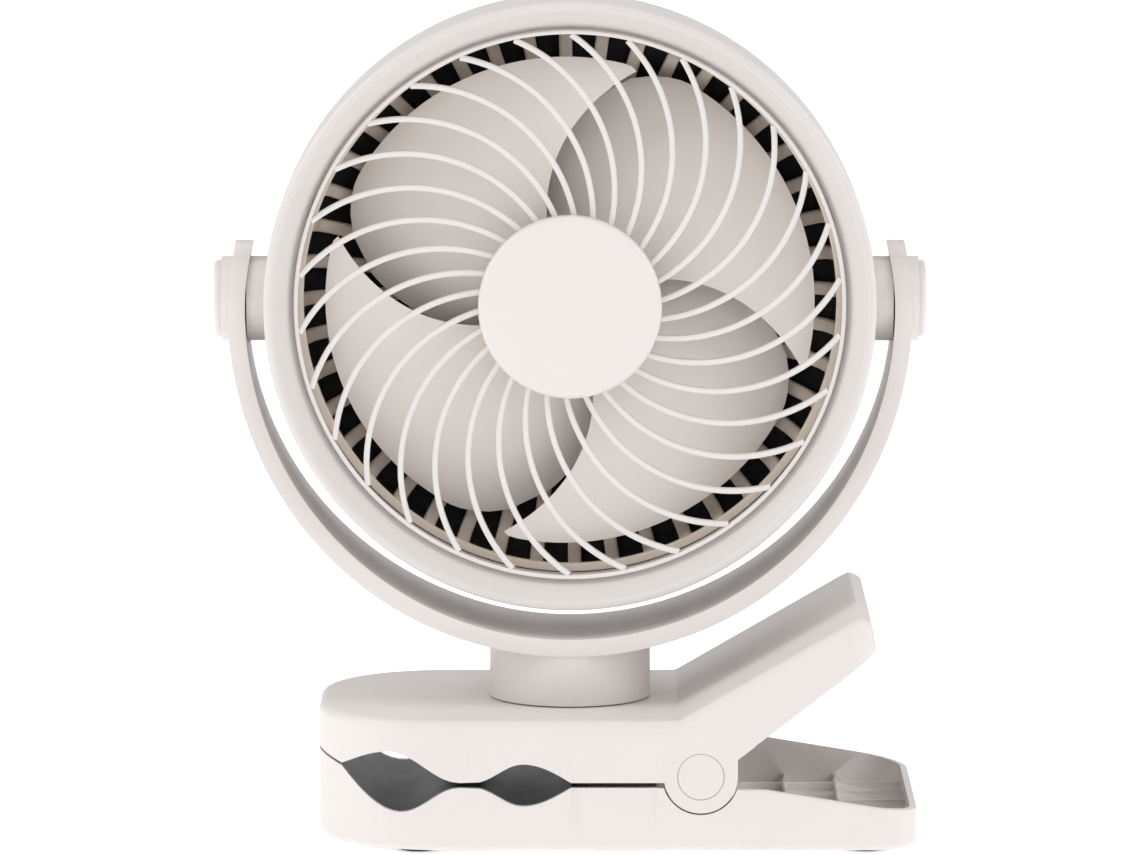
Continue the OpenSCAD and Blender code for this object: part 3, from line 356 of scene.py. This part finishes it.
# a section (side, depth) carried along points, each with its own side and depth directions
def swept(bm, stations, section, capped=True):
    rings = []
    for spot, side, depth in stations:
        rings.append([bm.verts.new(spot + side * a + depth * b) for a, b in section])
    count = len(section)
    for low, high in zip(rings, rings[1:]):
        for k in range(count):
            bm.faces.new((low[k], low[(k + 1) % count], high[(k + 1) % count], high[k]))
    if capped:
        bm.faces.new(rings[0][::-1])
        bm.faces.new(rings[-1])


# one shape repeated round an axis along Y
def wheelTree():
    tree = bpy.data.node_groups.new("wheel", "GeometryNodeTree")
    inputs = {"Shape": "NodeSocketGeometry", "Count": "NodeSocketInt", "Phase": "NodeSocketFloat",
              "Centre": "NodeSocketVector", "Finish": "NodeSocketMaterial"}
    for label, kind in inputs.items():
        tree.interface.new_socket(label, in_out="INPUT", socket_type=kind)
    tree.interface.new_socket("Geometry", in_out="OUTPUT", socket_type="NodeSocketGeometry")
    kit = NodeKit(tree)
    entry = tree.nodes.new("NodeGroupInput")
    shape, count, phase, centre, material = (Wire(kit, entry.outputs[k]) for k in range(5))
    index = kit.node("GeometryNodeInputIndex")
    step = kit.node("ShaderNodeMath", {"operation": "DIVIDE"}, {0: turn, 1: count})
    points = kit.node("GeometryNodeMeshLine", {}, {
        "Count": count, "Start Location": centre, "Offset": (0, 0, 0)})
    spin = kit.node("ShaderNodeCombineXYZ", {}, {1: index * step + phase})
    copies = kit.node("GeometryNodeInstanceOnPoints", {}, {
        "Points": points, "Instance": shape, "Rotation": spin})
    real = kit.node("GeometryNodeRealizeInstances", {}, {0: copies})
    painted = kit.node("GeometryNodeSetMaterial", {}, {"Geometry": real, "Material": material})
    kit.node("NodeGroupOutput", {}, {0: painted})
    return tree


wheel = wheelTree()


def repeated(bm, name, count, phase, slot, centre=headCentre):
    source = bpy.data.objects.new(name, toMesh(bm, name))
    scene.collection.objects.link(source)
    modifier = source.modifiers.new("wheel", "NODES")
    modifier.node_group = wheel
    values = {"Count": count, "Phase": -math.radians(phase), "Centre": centre, "Finish": finish[slot]}
    for item in wheel.interface.items_tree:
        if item.in_out == "INPUT" and item.name in values:
            modifier[item.identifier] = values[item.name]
    return evaluated(source)


def joined(bm, *meshes):
    for mesh in meshes:
        bm.from_mesh(mesh)
    return bm


# the clip's outer forms: a plan with round corners, lofted with soft edges between two heights
clip = {"nose": 73.7, "noseRound": 36.0, "half": 46.0, "skin": 0.02, "top": 39.0, "slopeStart": 31.5,
        "slope": 30.0, "noseSteps": 24, "sideSteps": 54, "tailSteps": 12}


# steps of a quarter turn, from the start of the arc to its end
def quarter(steps):
    return [turn / 4 * k / steps for k in range(steps + 1)]


def halfPlan(right, corner, inset):
    c = clip
    inset += c["skin"]
    points = [(-c["nose"] + inset, 0.0)]
    arc = c["noseRound"] - inset
    flat = c["half"] - c["noseRound"]
    middle = -c["nose"] + c["noseRound"]
    points += [(middle - arc * math.cos(a), flat + arc * math.sin(a)) for a in quarter(c["noseSteps"])]
    end = right - corner
    count = c["sideSteps"]
    points += [(middle + (end - middle) * k / count, c["half"] - inset) for k in range(1, count)]
    arc, flat = corner - inset, c["half"] - corner
    points += [(end + arc * math.sin(a), flat + arc * math.cos(a)) for a in quarter(c["tailSteps"])]
    return points + [(right - inset, 0.0)]


def softBlock(right, corner, topAt, bottomAt, topRound, bottomRound, steps=6):
    levels = []
    for a in quarter(steps):
        levels.append((bottomRound * (1 - math.sin(a)), "bottom", bottomRound * (1 - math.cos(a))))
    for a in quarter(steps):
        levels.append((topRound * (1 - math.cos(a)), "top", topRound * (1 - math.sin(a))))
    bm = bmesh.new()
    rings = []
    for inset, side, drop in levels:
        half = halfPlan(right, corner, inset)
        whole = [(x, -y) for x, y in half] + [(x, y) for x, y in reversed(half[1:-1])]
        ring = []
        for x, y in whole:
            high, low = topAt(x), bottomAt(x)
            room = max(0.0, (high - low) / 2 - 0.02)
            fall = min(drop, room)
            ring.append(bm.verts.new((x, y, high - fall if side == "top" else low + fall)))
        rings.append(ring)
    count = len(rings[0])
    for low, high in zip(rings, rings[1:]):
        for k in range(count):
            bm.faces.new((low[k], low[(k + 1) % count], high[(k + 1) % count], high[k]))
    for ring in (rings[0], rings[-1]):
        half = count // 2
        for k in range(1, half - 1):
            bm.faces.new((ring[k], ring[k + 1], ring[count - k - 1], ring[count - k]))
        bm.faces.new((ring[0], ring[1], ring[count - 1]))
        bm.faces.new((ring[half - 1], ring[half], ring[half + 1]))
    bmesh.ops.recalc_face_normals(bm, faces=bm.faces)
    return bm


# a height that runs straight from point to point (x, height)
def stepped(points):
    def at(x):
        for (a, low), (b, high) in zip(points, points[1:]):
            if x <= b:
                return low + (high - low) * max(0.0, (x - a) / (b - a))
        return points[-1][1]
    return at


# handle: the two round corners of its end (x, z, radius), where they begin and stop, and its underside
handle = {"tip": (84.32, 65.47, 3.5), "tipFrom": 82.57, "tipTo": 87.35, "heel": (85.44, 61.51, 4.5),
          "heelFrom": 88.18, "heelTop": 89.35, "end": 89.93, "endTop": 67.22, "endSlope": 1.732,
          "under": (48.6, 27.6), "underSlope": 0.7666, "rootFrom": 50, "rootTo": 52.5, "rootLow": -5.0,
          "rootRise": 34}


def jawTop(x):
    h, c = handle, clip
    skin = c["skin"]
    if x < h["tipFrom"]:
        rise = math.tan(math.radians(c["slope"]))
        return c["top"] + max(0.0, rise * (x - c["slopeStart"])) - skin
    if x < h["tipTo"]:
        return h["tip"][1] + math.sqrt(max(0, h["tip"][2] ** 2 - (x - h["tip"][0]) ** 2)) - skin
    if x < h["heelTop"]:
        return h["endTop"] - (x - h["tipTo"]) * h["endSlope"] - skin
    return h["heel"][1] + math.sqrt(max(0, h["heel"][2] ** 2 - (x - h["heel"][0]) ** 2)) - skin


def jawBottom(x):
    h = handle
    if x < h["rootFrom"]:
        return h["rootLow"]
    if x < h["rootTo"]:
        return h["rootLow"] + (x - h["rootFrom"]) / (h["rootTo"] - h["rootFrom"]) * h["rootRise"]
    if x < h["heelFrom"]:
        return h["under"][1] + (x - h["under"][0]) * h["underSlope"] + 0.02
    return h["heel"][1] - math.sqrt(max(0, h["heel"][2] ** 2 - (x - h["heel"][0]) ** 2))


# a CAD shell cut back to a soft-edged form, worked in millimetres for the Boolean
def trimmed(node, name, slot, block):
    mesh = frame["nodes"][node].data.copy()
    bm = bmesh.new()
    bm.from_mesh(mesh)
    bmesh.ops.remove_doubles(bm, verts=bm.verts, dist=0.005 * mm)
    bm.to_mesh(mesh)
    bm.free()
    mesh.transform(Matrix.Scale(1 / mm, 4))
    shell = bpy.data.objects.new(name, mesh)
    form = bpy.data.objects.new("form", toMesh(block, "form"))
    for thing in (shell, form):
        scene.collection.objects.link(thing)
    trim = shell.modifiers.new("trim", "BOOLEAN")
    trim.operation, trim.solver, trim.object = "INTERSECT", "EXACT", form
    made = evaluated(shell)
    bpy.data.objects.remove(form)
    made.transform(Matrix.Scale(mm, 4))
    print(name, len(made.polygons), "faces")
    return place(name, evenNormals(made, name, 28), nodeBody[node], slot, [node], sharp=0)


trayLine = stepped([
    (-80, 40), (40, 40), (48.5, 19.7), (49.2, 18.78), (56.6, 18.78), (93, 12.78), (110, 12.78)])
# each jaw: right end, corner, and the rounding of its top and bottom edges
jaws = {"upper": {"end": handle["end"], "corner": 10.0, "topRound": 2.2, "bottomRound": 0.8},
        "lower": {"end": 101.0, "corner": 14.0, "topRound": 0.8, "bottomRound": 1.6, "underside": 0.82}}
for name, topAt, bottomAt in (
        ("upper", jawTop, jawBottom), ("lower", trayLine, lambda x: jaws["lower"]["underside"])):
    jaw = jaws[name]
    block = softBlock(jaw["end"], jaw["corner"], topAt, bottomAt, jaw["topRound"], jaw["bottomRound"])
    trimmed(name + "_jaw_shell", name + "Jaw", "body_plastic", block)

# other mouldings: piece name, finish and edge rounding
shells = {
    "yoke": ("yokeFrame", "body_plastic", 1.0),
    "rear_housing": ("headShell", "head_plastic", 0.8),
    "base_plate": ("basePlate", "cover_plastic", 0.4),
    "handle_cover": ("handlePlate", "cover_plastic", 0.35),
    "power_button": ("powerButton", "body_plastic", 0.4),
    "battery_pack": ("batteryPack", "battery_wrap", 1.2),
}
for node, (label, slot, width) in shells.items():
    softened(node, label, slot, width)
for node, label in (("lower_jaw_pad", "lowerPad"), ("upper_jaw_pad", "upperPad")):
    bm = bmesh.new()
    bm.from_mesh(frame["nodes"][node].data)
    bmesh.ops.remove_doubles(bm, verts=bm.verts, dist=0.005 * mm)
    bmesh.ops.dissolve_limit(bm, angle_limit=math.radians(1), verts=bm.verts, edges=bm.edges)
    place(label, evenNormals(toMesh(bm, label), label, 32), nodeBody[node], "pad_rubber", [node], sharp=0)
print("shells done")

# front bezel: rounded lip, cone and duct
ring = {"outer": 89.0, "lip": 86.6, "duct": 80.5, "front": -25.0, "seam": -13.0, "step": -17.0, "wall": 2,
        "ductWall": 1.6}
lathedPiece("bezelRing", "head", "head_plastic", ["front_ring"], [{
    "outline": filleted([
        (ring["outer"], ring["seam"], 0.3), (ring["outer"], ring["front"], 1.9),
        (ring["lip"], ring["front"], 1.2), (ring["duct"], ring["step"], 0.8),
        (ring["duct"], ring["seam"], 0.2), (ring["duct"] + ring["ductWall"], ring["seam"], 0.2),
        (ring["duct"] + ring["ductWall"], ring["step"] + 1, 0.5),
        (ring["outer"] - ring["wall"], ring["front"] + 4, 0.5),
        (ring["outer"] - ring["wall"], ring["seam"], 0.2)]),
    "centre": headCentre, "steps": 220}])

# front grille: curved ribs between a rim and a plate behind the hub
grille = {"ribs": 30, "width": 1.7, "front": -19.8, "back": -17.3, "arc": 47.0, "lean": 12.0, "phase": 2.0,
          "start": 23.7, "end": 79.75, "step": 2.2, "rim": (79.15, 80.35), "plate": (4.2, 25.6),
          "plateY": (-19.75, -17.35)}


def roundedBar(width, low, high, radius, steps=3):
    half = width / 2
    return [(p.x * mm, p.y * mm) for p in filleted(
        [(-half, high, 0.15), (-half, low, radius), (half, low, radius), (half, high, 0.15)], steps=steps)]


def frontRib():
    g = grille
    lean = math.radians(g["lean"])
    cx, cz = g["start"] - g["arc"] * math.sin(lean), g["arc"] * math.cos(lean)
    stations = []
    a = -math.radians(90 - g["lean"])
    while math.hypot(cx + g["arc"] * math.cos(a), cz + g["arc"] * math.sin(a)) < g["end"]:
        out = Vector((math.cos(a), 0, math.sin(a)))
        stations.append((Vector((cx, 0, cz)) * mm + out * g["arc"] * mm, out, Vector((0, 1, 0))))
        a += math.radians(g["step"])
    bm = bmesh.new()
    swept(bm, stations, roundedBar(g["width"], g["front"], g["back"], 0.6))
    return bm


ribs = repeated(frontRib(), "frontRibs", grille["ribs"], grille["phase"], "grille_plastic")
bm = joined(bmesh.new(), ribs)


# a flat ring between two radii and two depths; the four corner radii go round from inner front
def flatRing(bm, radii, depths, rounds):
    (inner, outer), (front, back) = radii, depths
    corners = zip((inner, outer, outer, inner), (front, front, back, back), rounds)
    lathed(bm, filleted([tuple(corner) for corner in corners]), headCentre)


flatRing(bm, grille["rim"], (grille["front"], grille["back"]), (0.4, 0.3, 0.2, 0.2))
flatRing(bm, grille["plate"], grille["plateY"], (0.2, 0.3, 0.3, 0.2))
place("frontGrille", toMesh(bm, "frontGrille"), "head", "grille_plastic", ["front_grille"])

hub = {"radius": 26.7, "front": -24.7, "back": -19.82, "stem": 4.0, "stemEnd": -17.4, "edge": 1.5}
lathedPiece("hubCap", "head", "grille_plastic", ["hub_cap"], [{
    "outline": [Vector((0, hub["front"]))] + filleted([
        (0.01, hub["front"]), (14, hub["front"] + 0.05, 0), (hub["radius"], hub["front"] + 0.35, hub["edge"]),
        (hub["radius"], hub["back"], 0.3), (hub["stem"], hub["back"], 0.1),
        (hub["stem"], hub["stemEnd"], 0.3), (0.01, hub["stemEnd"])], closed=False)
    + [Vector((0, hub["stemEnd"]))],
    "centre": headCentre, "closed": False}])
print("front grille done")

# rear guard: rounded ribs that follow the bowl
guard = {"ribs": 44, "width": 3.9, "thick": 2.4, "bowl": 77.95, "ring": 46.25, "plate": 24.0, "face": 19.0,
         "phase": 1.0}


def bowlLine(out):
    g = guard
    return [Vector(p) for p in (
        (g["bowl"] + out, -2.6), (g["bowl"] + out, 5.4), (g["bowl"] - 2.2 + out * 0.8, 11.4 + out * 0.6),
        (g["bowl"] - 8.5 + out * 0.3, 15.6 + out), (g["ring"] + 3, g["face"] - 0.6 + out),
        (g["plate"], g["face"] + out))]


def smoothLine(points, radius):
    middle = [(p.x, p.y, radius) for p in points[1:-1]]
    return filleted([points[0]] + middle + [points[-1]], closed=False, steps=5)


def guardRib(line, width, thick):
    stations = []
    for i, p in enumerate(line):
        along = (line[min(i + 1, len(line) - 1)] - line[max(i - 1, 0)]).normalized()
        outward = Vector((along.y, -along.x, 0))
        stations.append((Vector((p.x, p.y, 0)) * mm, Vector((0, 0, 1)), outward))
    half = width / 2
    section = [(p.x * mm, p.y * mm) for p in filleted(
        [(-half, thick, 0.2), (-half, 0.0, 0.9), (half, 0.0, 0.9), (half, thick, 0.2)], steps=4)]
    bm = bmesh.new()
    swept(bm, stations, section)
    return bm


outerLine = bowlLine(0)[:-1] + [Vector((guard["ring"] - 0.6, guard["face"] - 0.5))]
innerLine = [Vector((guard["ring"] + 0.4, guard["face"] - 0.5)),
             Vector((guard["plate"] + 1, guard["face"] + 0.05))]
outerRibs = repeated(guardRib(smoothLine(outerLine, 5.0), guard["width"], guard["thick"]), "outerRibs",
                     guard["ribs"], guard["phase"], "guard_plastic")
innerRibs = repeated(guardRib(innerLine, guard["width"], guard["thick"]), "innerRibs", guard["ribs"] // 2,
                     guard["phase"], "guard_plastic")
bm = joined(bmesh.new(), outerRibs, innerRibs)
bowl = guard["bowl"]
flatRing(bm, (bowl, bowl + 2.4), (-5, -2.3), (0.4, 0.3, 0.3, 0.4))
lathed(bm, filleted([(44.6, 18.5, 0.7), (47.9, 18.4, 0.7), (47.9, 20.9, 0.3), (44.6, 20.95, 0.3)]),
       headCentre)
flatRing(bm, (3.65, 26.1), (19, 21.55), (0.2, 0.6, 0.4, 0.2))
place("rearGuard", toMesh(bm, "rearGuard"), "head", "guard_plastic", ["rear_guard"])

# screen: a thin near-black mesh bowl just outside the guard; its dark colour is painted shade, so the gaps
# behind the ribs read dark
screen = {"near": 0.15, "far": 0.95, "hole": 24.5}
inside, outside = (smoothLine(bowlLine(guard["thick"] + gap), 3.0) for gap in (screen["near"], screen["far"]))
hole = screen["hole"]
lathedPiece("darkShadeScreen", "head", "screen_mesh", ["dust_screen"], [{
    "outline": [p for p in inside if p.x > hole] + [Vector((hole, inside[-1].y)), Vector((hole, outside[-1].y))]
    + [p for p in reversed(outside) if p.x > hole], "centre": headCentre}])
print("rear guard done")

# impeller: four swept blades and a cup
fan = {"blades": 4, "root": 18.0, "tip": 71.5, "span": 88.5, "rootSpan": 96.0, "sweep": 35.0, "start": 18.0,
       "depth": 22.0, "front": -12.0, "thick": 1.6, "corner": 13.0, "cup": 19.0}


def bladeShape():
    f = fan
    rows, columns = 26, 40
    bm = bmesh.new()
    faces = {}
    for side in (-1, 1):
        grid = []
        for i in range(columns + 1):
            v = i / columns
            t = max(0.0, (v - 0.87) / 0.13)
            s = max(0.0, (0.03 - v) / 0.03)
            tip = f["tip"] - f["corner"] * (1 - math.sqrt(max(0.0, 1 - t * t))) - 1.2 * s
            column = []
            for j in range(rows + 1):
                u = j / rows * (tip - f["root"]) / (f["tip"] - f["root"])
                r = f["root"] + (f["tip"] - f["root"]) * u
                span = f["rootSpan"] + (f["span"] - f["rootSpan"]) * u
                a = math.radians(span * v - f["sweep"] * u ** 1.3)
                ends = min(1.0, 0.35 + 6 * min(v, 1 - v))
                rim = min(1.0, 0.4 + 12 * (1 - j / rows))
                thick = f["thick"] * (1 - 0.35 * u) * ends * rim
                middle = f["front"] + 1 + f["thick"] / 2 + (f["depth"] - f["thick"]) * v * (0.62 + 0.38 * u)
                y = middle + side * thick / 2
                column.append(bm.verts.new(Vector((r * math.cos(a), y, r * math.sin(a))) * mm))
            grid.append(column)
        faces[side] = grid
        for i in range(columns):
            for j in range(rows):
                bm.faces.new((grid[i][j], grid[i + 1][j], grid[i + 1][j + 1], grid[i][j + 1]))
    a, b = faces[-1], faces[1]
    edge = [(i, 0) for i in range(columns)] + [(columns, j) for j in range(rows)]
    edge += [(i, rows) for i in range(columns, 0, -1)] + [(0, j) for j in range(rows, 0, -1)]
    for (i, j), (k, l) in zip(edge, edge[1:] + edge[:1]):
        bm.faces.new((a[i][j], a[k][l], b[k][l], b[i][j]))
    return bm


blades = repeated(bladeShape(), "blades", fan["blades"], fan["start"], "blade_plastic")
bm = joined(bmesh.new(), blades)
cup = {"outer": fan["cup"], "inner": fan["cup"] - 1.8, "front": -12, "floor": -10.2, "back": 6, "stem": 3.2,
       "stemEnd": -3.0}
lathed(bm, [Vector((0, cup["front"]))] + filleted([
    (0.01, cup["front"]), (cup["outer"], cup["front"], 1.6), (cup["outer"], cup["back"], 0.5),
    (cup["inner"], cup["back"], 0.4), (cup["inner"], cup["floor"], 0.8), (cup["stem"], cup["floor"], 0.5),
    (cup["stem"], cup["stemEnd"], 0.3), (0.01, cup["stemEnd"])], closed=False)
    + [Vector((0, cup["stemEnd"]))], headCentre, closed=False)
place("impellerBlades", toMesh(bm, "impellerBlades"), "impeller", "blade_plastic", ["impeller"], sharp=40)
print("impeller done")

# caps on the pivots and the hinge pin
pivot = {"radius": 11.2, "face": 102.0, "out": 104.2, "plug": 8.5, "plugEnd": 100.9}
parts = []
for side in (-1, 1):
    outline = [Vector((0, side * pivot["out"]))] + [Vector((p.x, p.y * side)) for p in filleted([
        (0.01, pivot["out"]), (pivot["radius"], pivot["out"] - 0.1, 1.2),
        (pivot["radius"], pivot["face"] + 0.02, 0.2),
        (pivot["plug"], pivot["face"] + 0.02, 0.1), (pivot["plug"], pivot["plugEnd"], 0.3),
        (0.01, pivot["plugEnd"])], closed=False)]
    outline.append(Vector((0, side * pivot["plugEnd"])))
    parts.append({"outline": outline, "centre": headCentre, "axis": "x", "steps": 96, "closed": False})
lathedPiece("pivotCaps", "yoke", "body_plastic", ["pivot_caps"], parts)

hinge = {"x": 37.9, "z": 22.6, "cap": 6.8, "face": 46.0, "dish": 45.75, "back": 44.05}
parts = []
for side in (-1, 1):
    outline = [Vector((0, side * hinge["dish"]))] + [Vector((p.x, p.y * side)) for p in filleted([
        (0.01, hinge["dish"]), (hinge["cap"] - 1.6, 45.85, 0), (hinge["cap"], hinge["face"] - 0.05, 0.45),
        (hinge["cap"], hinge["back"], 0.2), (0.01, hinge["back"])], closed=False)]
    outline.append(Vector((0, side * hinge["back"])))
    parts.append({"outline": outline, "centre": Vector((hinge["x"], 0, hinge["z"])) * mm, "steps": 96,
                  "closed": False})
lathedPiece("pinCaps", "upper_jaw", "body_plastic", ["pin_caps"], parts)

# rear cap over the motor's back
lathedPiece("rearCap", "head", "head_plastic", ["rear_cap"], [{
    "outline": [Vector((0, 29.6))] + filleted([
        (0.01, 29.6), (17, 28.9, 4), (22.6, 25.6, 3), (24, 21.65, 0.2), (22.2, 21.65, 0.2), (20.8, 24.6, 2),
        (16.5, 27.0, 3), (0.01, 27.8)], closed=False) + [Vector((0, 27.8))],
    "centre": headCentre, "closed": False}])

# feet: low rubber discs with a ringed sole
parts = []
for x, y in ((-44, 36.5), (-44, -36.5), (86, 36), (86, -36)):
    parts.append({"outline": [Vector((0, 0.25))] + filleted([
        (0.01, 0.25), (3.4, 0.25, 0), (3.7, 0, 0), (4.4, 0, 0), (4.7, 0.25, 0), (5.0, 0.0, 0),
        (6, 0.0, 0.4), (6, 1.55, 0.2), (0.01, 1.55)], closed=False) + [Vector((0, 1.55))],
        "centre": Vector((x, y, 0)) * mm, "axis": "z", "steps": 48, "closed": False})
lathedPiece("feetPads", "lower_jaw", "pad_rubber", ["feet"], parts)

# torsion spring: a real coil with two legs
spring = {"mean": 4.2, "wire": 0.8, "length": 26.0, "turns": 14.75, "turnSteps": 20, "leg": 13.5,
          "slope": 30.0}


def wireShape(line):
    bm = bmesh.new()
    centre = Vector((hinge["x"], 0, hinge["z"])) * mm
    radius = spring["wire"] * mm
    section = [(radius * math.cos(turn * k / 8), radius * math.sin(turn * k / 8)) for k in range(8)]
    stations = []
    side = Vector((0, 1, 0))
    for i, p in enumerate(line):
        along = (line[min(i + 1, len(line) - 1)] - line[max(i - 1, 0)]).normalized()
        side = (side - along * side.dot(along)).normalized()
        stations.append((p * mm + centre, side, along.cross(side)))
    swept(bm, stations, section)
    return bm


def coilLine(first, last):
    s = spring
    half = s["length"] / 2 - s["wire"]
    line = []
    for k in range(first, last + 1):
        a = -turn * k / s["turnSteps"]
        y = -half + 2 * half * k / (s["turns"] * s["turnSteps"])
        line.append(Vector((s["mean"] * math.cos(a), y, s["mean"] * math.sin(a))))
    return line


steps = int(spring["turns"] * spring["turnSteps"])
coil = coilLine(0, steps)
lowLeg = [coil[0] + Vector((0, 0, spring["leg"] * (1 - k / 5))) * -1 for k in range(5)]
wound = wireShape([p for p in lowLeg if p.z < -2] + coil[2:])
place("torsionSpring", toMesh(wound, "torsionSpring"), "lower_jaw", "spring_steel", ["torsion_spring"], sharp=50)
# the leg that lies in the handle turns with it
tail = coilLine(steps - 3, steps)
lean = math.radians(spring["slope"])
tail += [coil[-1] + Vector((math.cos(lean), 0, math.sin(lean))) * spring["leg"] * k / 5 for k in range(1, 6)]
place("springLeg", toMesh(wireShape(tail), "springLeg"), "upper_jaw", "spring_steel", [], sharp=50)
print("small pieces done")

# screw heads: rounded, with a cross recess, over the plain screws' ends
screwHead = {"height": 0.9, "dome": 0.25, "arm": 0.32, "reach": 0.62, "deep": 0.55}


def headShape(radius):
    s = screwHead
    bm = bmesh.new()
    lathed(bm, [Vector((0, 0))] + filleted([
        (0.01, 0), (radius * 0.6, 0.03, 0), (radius, s["dome"], 0.15), (radius, s["height"], 0.1),
        (0.01, s["height"])], closed=False) + [Vector((0, s["height"]))], Vector(), steps=28, closed=False)
    head = bpy.data.objects.new("head", toMesh(bm, "head"))
    head.data.transform(Matrix.Scale(1 / mm, 4))
    cutter = bmesh.new()
    for width, length in ((s["arm"], radius * s["reach"]), (radius * s["reach"], s["arm"])):
        box = bmesh.ops.create_cube(cutter, size=1)["verts"]
        for vert in box:
            taper = 0.75 if vert.co.y > 0 else 1.0
            vert.co = Vector((vert.co.x * 2 * width * taper, (vert.co.y + 0.5) * (s["deep"] + 0.4) - 0.4,
                              vert.co.z * 2 * length * taper))
    cross = bpy.data.objects.new("cross", bpy.data.meshes.new("cross"))
    cutter.to_mesh(cross.data)
    cutter.free()
    for thing in (head, cross):
        scene.collection.objects.link(thing)
    recess = head.modifiers.new("recess", "BOOLEAN")
    recess.operation, recess.solver, recess.object = "DIFFERENCE", "EXACT", cross
    recess.use_self = True
    mesh = evaluated(head)
    mesh.transform(Matrix.Scale(mm, 4))
    bpy.data.objects.remove(cross)
    return mesh


# the box of each separate solid in a CAD node
def islands(node):
    bm = bmesh.new()
    bm.from_mesh(frame["nodes"][node].data)
    bmesh.ops.remove_doubles(bm, verts=bm.verts, dist=0.01 * mm)
    seen, boxes = set(), []
    for first in bm.verts:
        if first.index in seen:
            continue
        stack, spots = [first], []
        seen.add(first.index)
        while stack:
            vert = stack.pop()
            spots.append(vert.co.copy())
            for edge in vert.link_edges:
                other = edge.other_vert(vert)
                if other.index not in seen:
                    seen.add(other.index)
                    stack.append(other)
        low = Vector([min(p[k] for p in spots) for k in range(3)])
        high = Vector([max(p[k] for p in spots) for k in range(3)])
        boxes.append((low, high))
    bm.free()
    return boxes


# a plain shank with a threaded outline, from under the head to its tip
thread = {"top": 0.7, "neck": 0.42, "root": 0.36, "crest": 0.46, "tip": 0.2, "lead": 0.8, "pitch": 0.9}


def shankShape(radius, length):
    t = thread
    line = [(0.0, t["top"]), (t["neck"] * radius, t["top"])]
    count = max(2, int(length - t["pitch"]))
    step = (length - t["pitch"]) / count
    for k in range(count):
        y = t["lead"] + (length - t["pitch"]) * k / count
        line += [(t["root"] * radius, y), (t["crest"] * radius, y + step / 2)]
    line += [(t["tip"] * radius, length), (0.0, length)]
    bm = bmesh.new()
    lathed(bm, [Vector(p) for p in line], Vector(), steps=16, closed=False)
    return toMesh(bm, "shank")


# node, piece name, radius of the head, the way the head faces
screws = (
    ("base_screws", "baseScrews", 2.6, (0, 0, -1)),
    ("head_screws", "headScrews", 1.9, (0, 1, 0)),
    ("cap_screws", "capScrews", 1.9, (0, 1, 0)),
)
for node, label, modelRadius, facing in screws:
    head = headShape(modelRadius)
    facing = Vector(facing)
    axis = max(range(3), key=lambda k: abs(facing[k]))
    bm = bmesh.new()
    for low, high in islands(node):
        middle = (low + high) / 2
        wide = (high - low)
        radius = min(wide[k] for k in range(3) if k != axis) / 2 / mm
        tip = middle.copy()
        tip[axis] = high[axis] if facing[axis] > 0 else low[axis]
        top = head.copy()
        scale = Matrix.Diagonal((radius / max(v.co.x / mm for v in head.vertices),) * 3).to_4x4()
        turned = (-facing).to_track_quat("Y", "X").to_matrix().to_4x4()
        top.transform(Matrix.Translation(tip) @ turned @ scale)
        bm.from_mesh(top)
        far = middle.copy()
        far[axis] = low[axis] if facing[axis] > 0 else high[axis]
        shank = shankShape(radius, (far - tip).length / mm)
        shank.transform(Matrix.Translation(tip) @ turned)
        bm.from_mesh(shank)
    place(label, toMesh(bm, label), nodeBody[node], "screw_steel", [node], sharp=35)
print("screws done")

# every CAD node that stays gets its finish
for row in frame["record"]["subparts"]:
    target = frame["nodes"][row["node"]]
    target.data.materials.clear()
    target.data.materials.append(finish[row["material_slot"]])

# floor, lights and camera
stage = {"floor": 14.0, "pale": (0.93, 0.93, 0.93, 1), "glow": 0.50, "sky": 0.66}


def floorMaterial():
    material, kit = newMaterial("paleFloor")
    where = kit.node("ShaderNodeTexCoord", out=3)
    cloud = kit.noise(where, 1.5, 2.0)
    finishMaterial(kit, {"Base Color": kit.blend(cloud, stage["pale"], (0.92, 0.92, 0.92, 1))},
                   {"Roughness": 0.9, "Emission Color": (1, 1, 1, 1), "Emission Strength": stage["glow"]})
    return material


bm = bmesh.new()
bmesh.ops.create_grid(bm, x_segments=4, y_segments=4, size=stage["floor"] / 2)
floor = bpy.data.objects.new("floor", toMesh(bm, "floor"))
floor.data.transform(Matrix.Translation((0, stage["floor"] / 2 - 3.5, -0.0002)))
floor.data.materials.append(floorMaterial())
scene.collection.objects.link(floor)
floor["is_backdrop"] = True

world = bpy.data.worlds.new("studio")
scene.world = world
world.use_nodes = True
world.node_tree.nodes["Background"].inputs["Color"].default_value = (1.0, 1.0, 1.0, 1)
world.node_tree.nodes["Background"].inputs["Strength"].default_value = stage["sky"]

lamps = {
    "left": {"spot": (-1.3, -0.45, 1.0), "size": 0.9, "power": 9},
    "right": {"spot": (1.4, -0.45, 0.9), "size": 1.0, "power": 8},
    "top": {"spot": (0.0, -0.5, 1.7), "size": 1.2, "power": 4},
}
for label, lamp in lamps.items():
    data = bpy.data.lights.new(label, "AREA")
    data.energy, data.size = lamp["power"], lamp["size"]
    light = bpy.data.objects.new(label, data)
    light.location = lamp["spot"]
    light.rotation_euler = (Vector((0, 0, 0.12)) - light.location).to_track_quat("-Z", "Y").to_euler()
    scene.collection.objects.link(light)

view = {"spot": (0, -2.200, 0.4166), "down": 7.716, "lens": 238.6}
camera = bpy.data.objects.new("camera", bpy.data.cameras.new("camera"))
camera.data.lens, camera.data.sensor_width = view["lens"], 36
camera.location = view["spot"]
camera.rotation_euler = (math.radians(90 - view["down"]), 0, 0)
scene.collection.objects.link(camera)
scene.camera = camera
scene.view_settings.view_transform = "Standard"
print("stage done")

low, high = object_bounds()
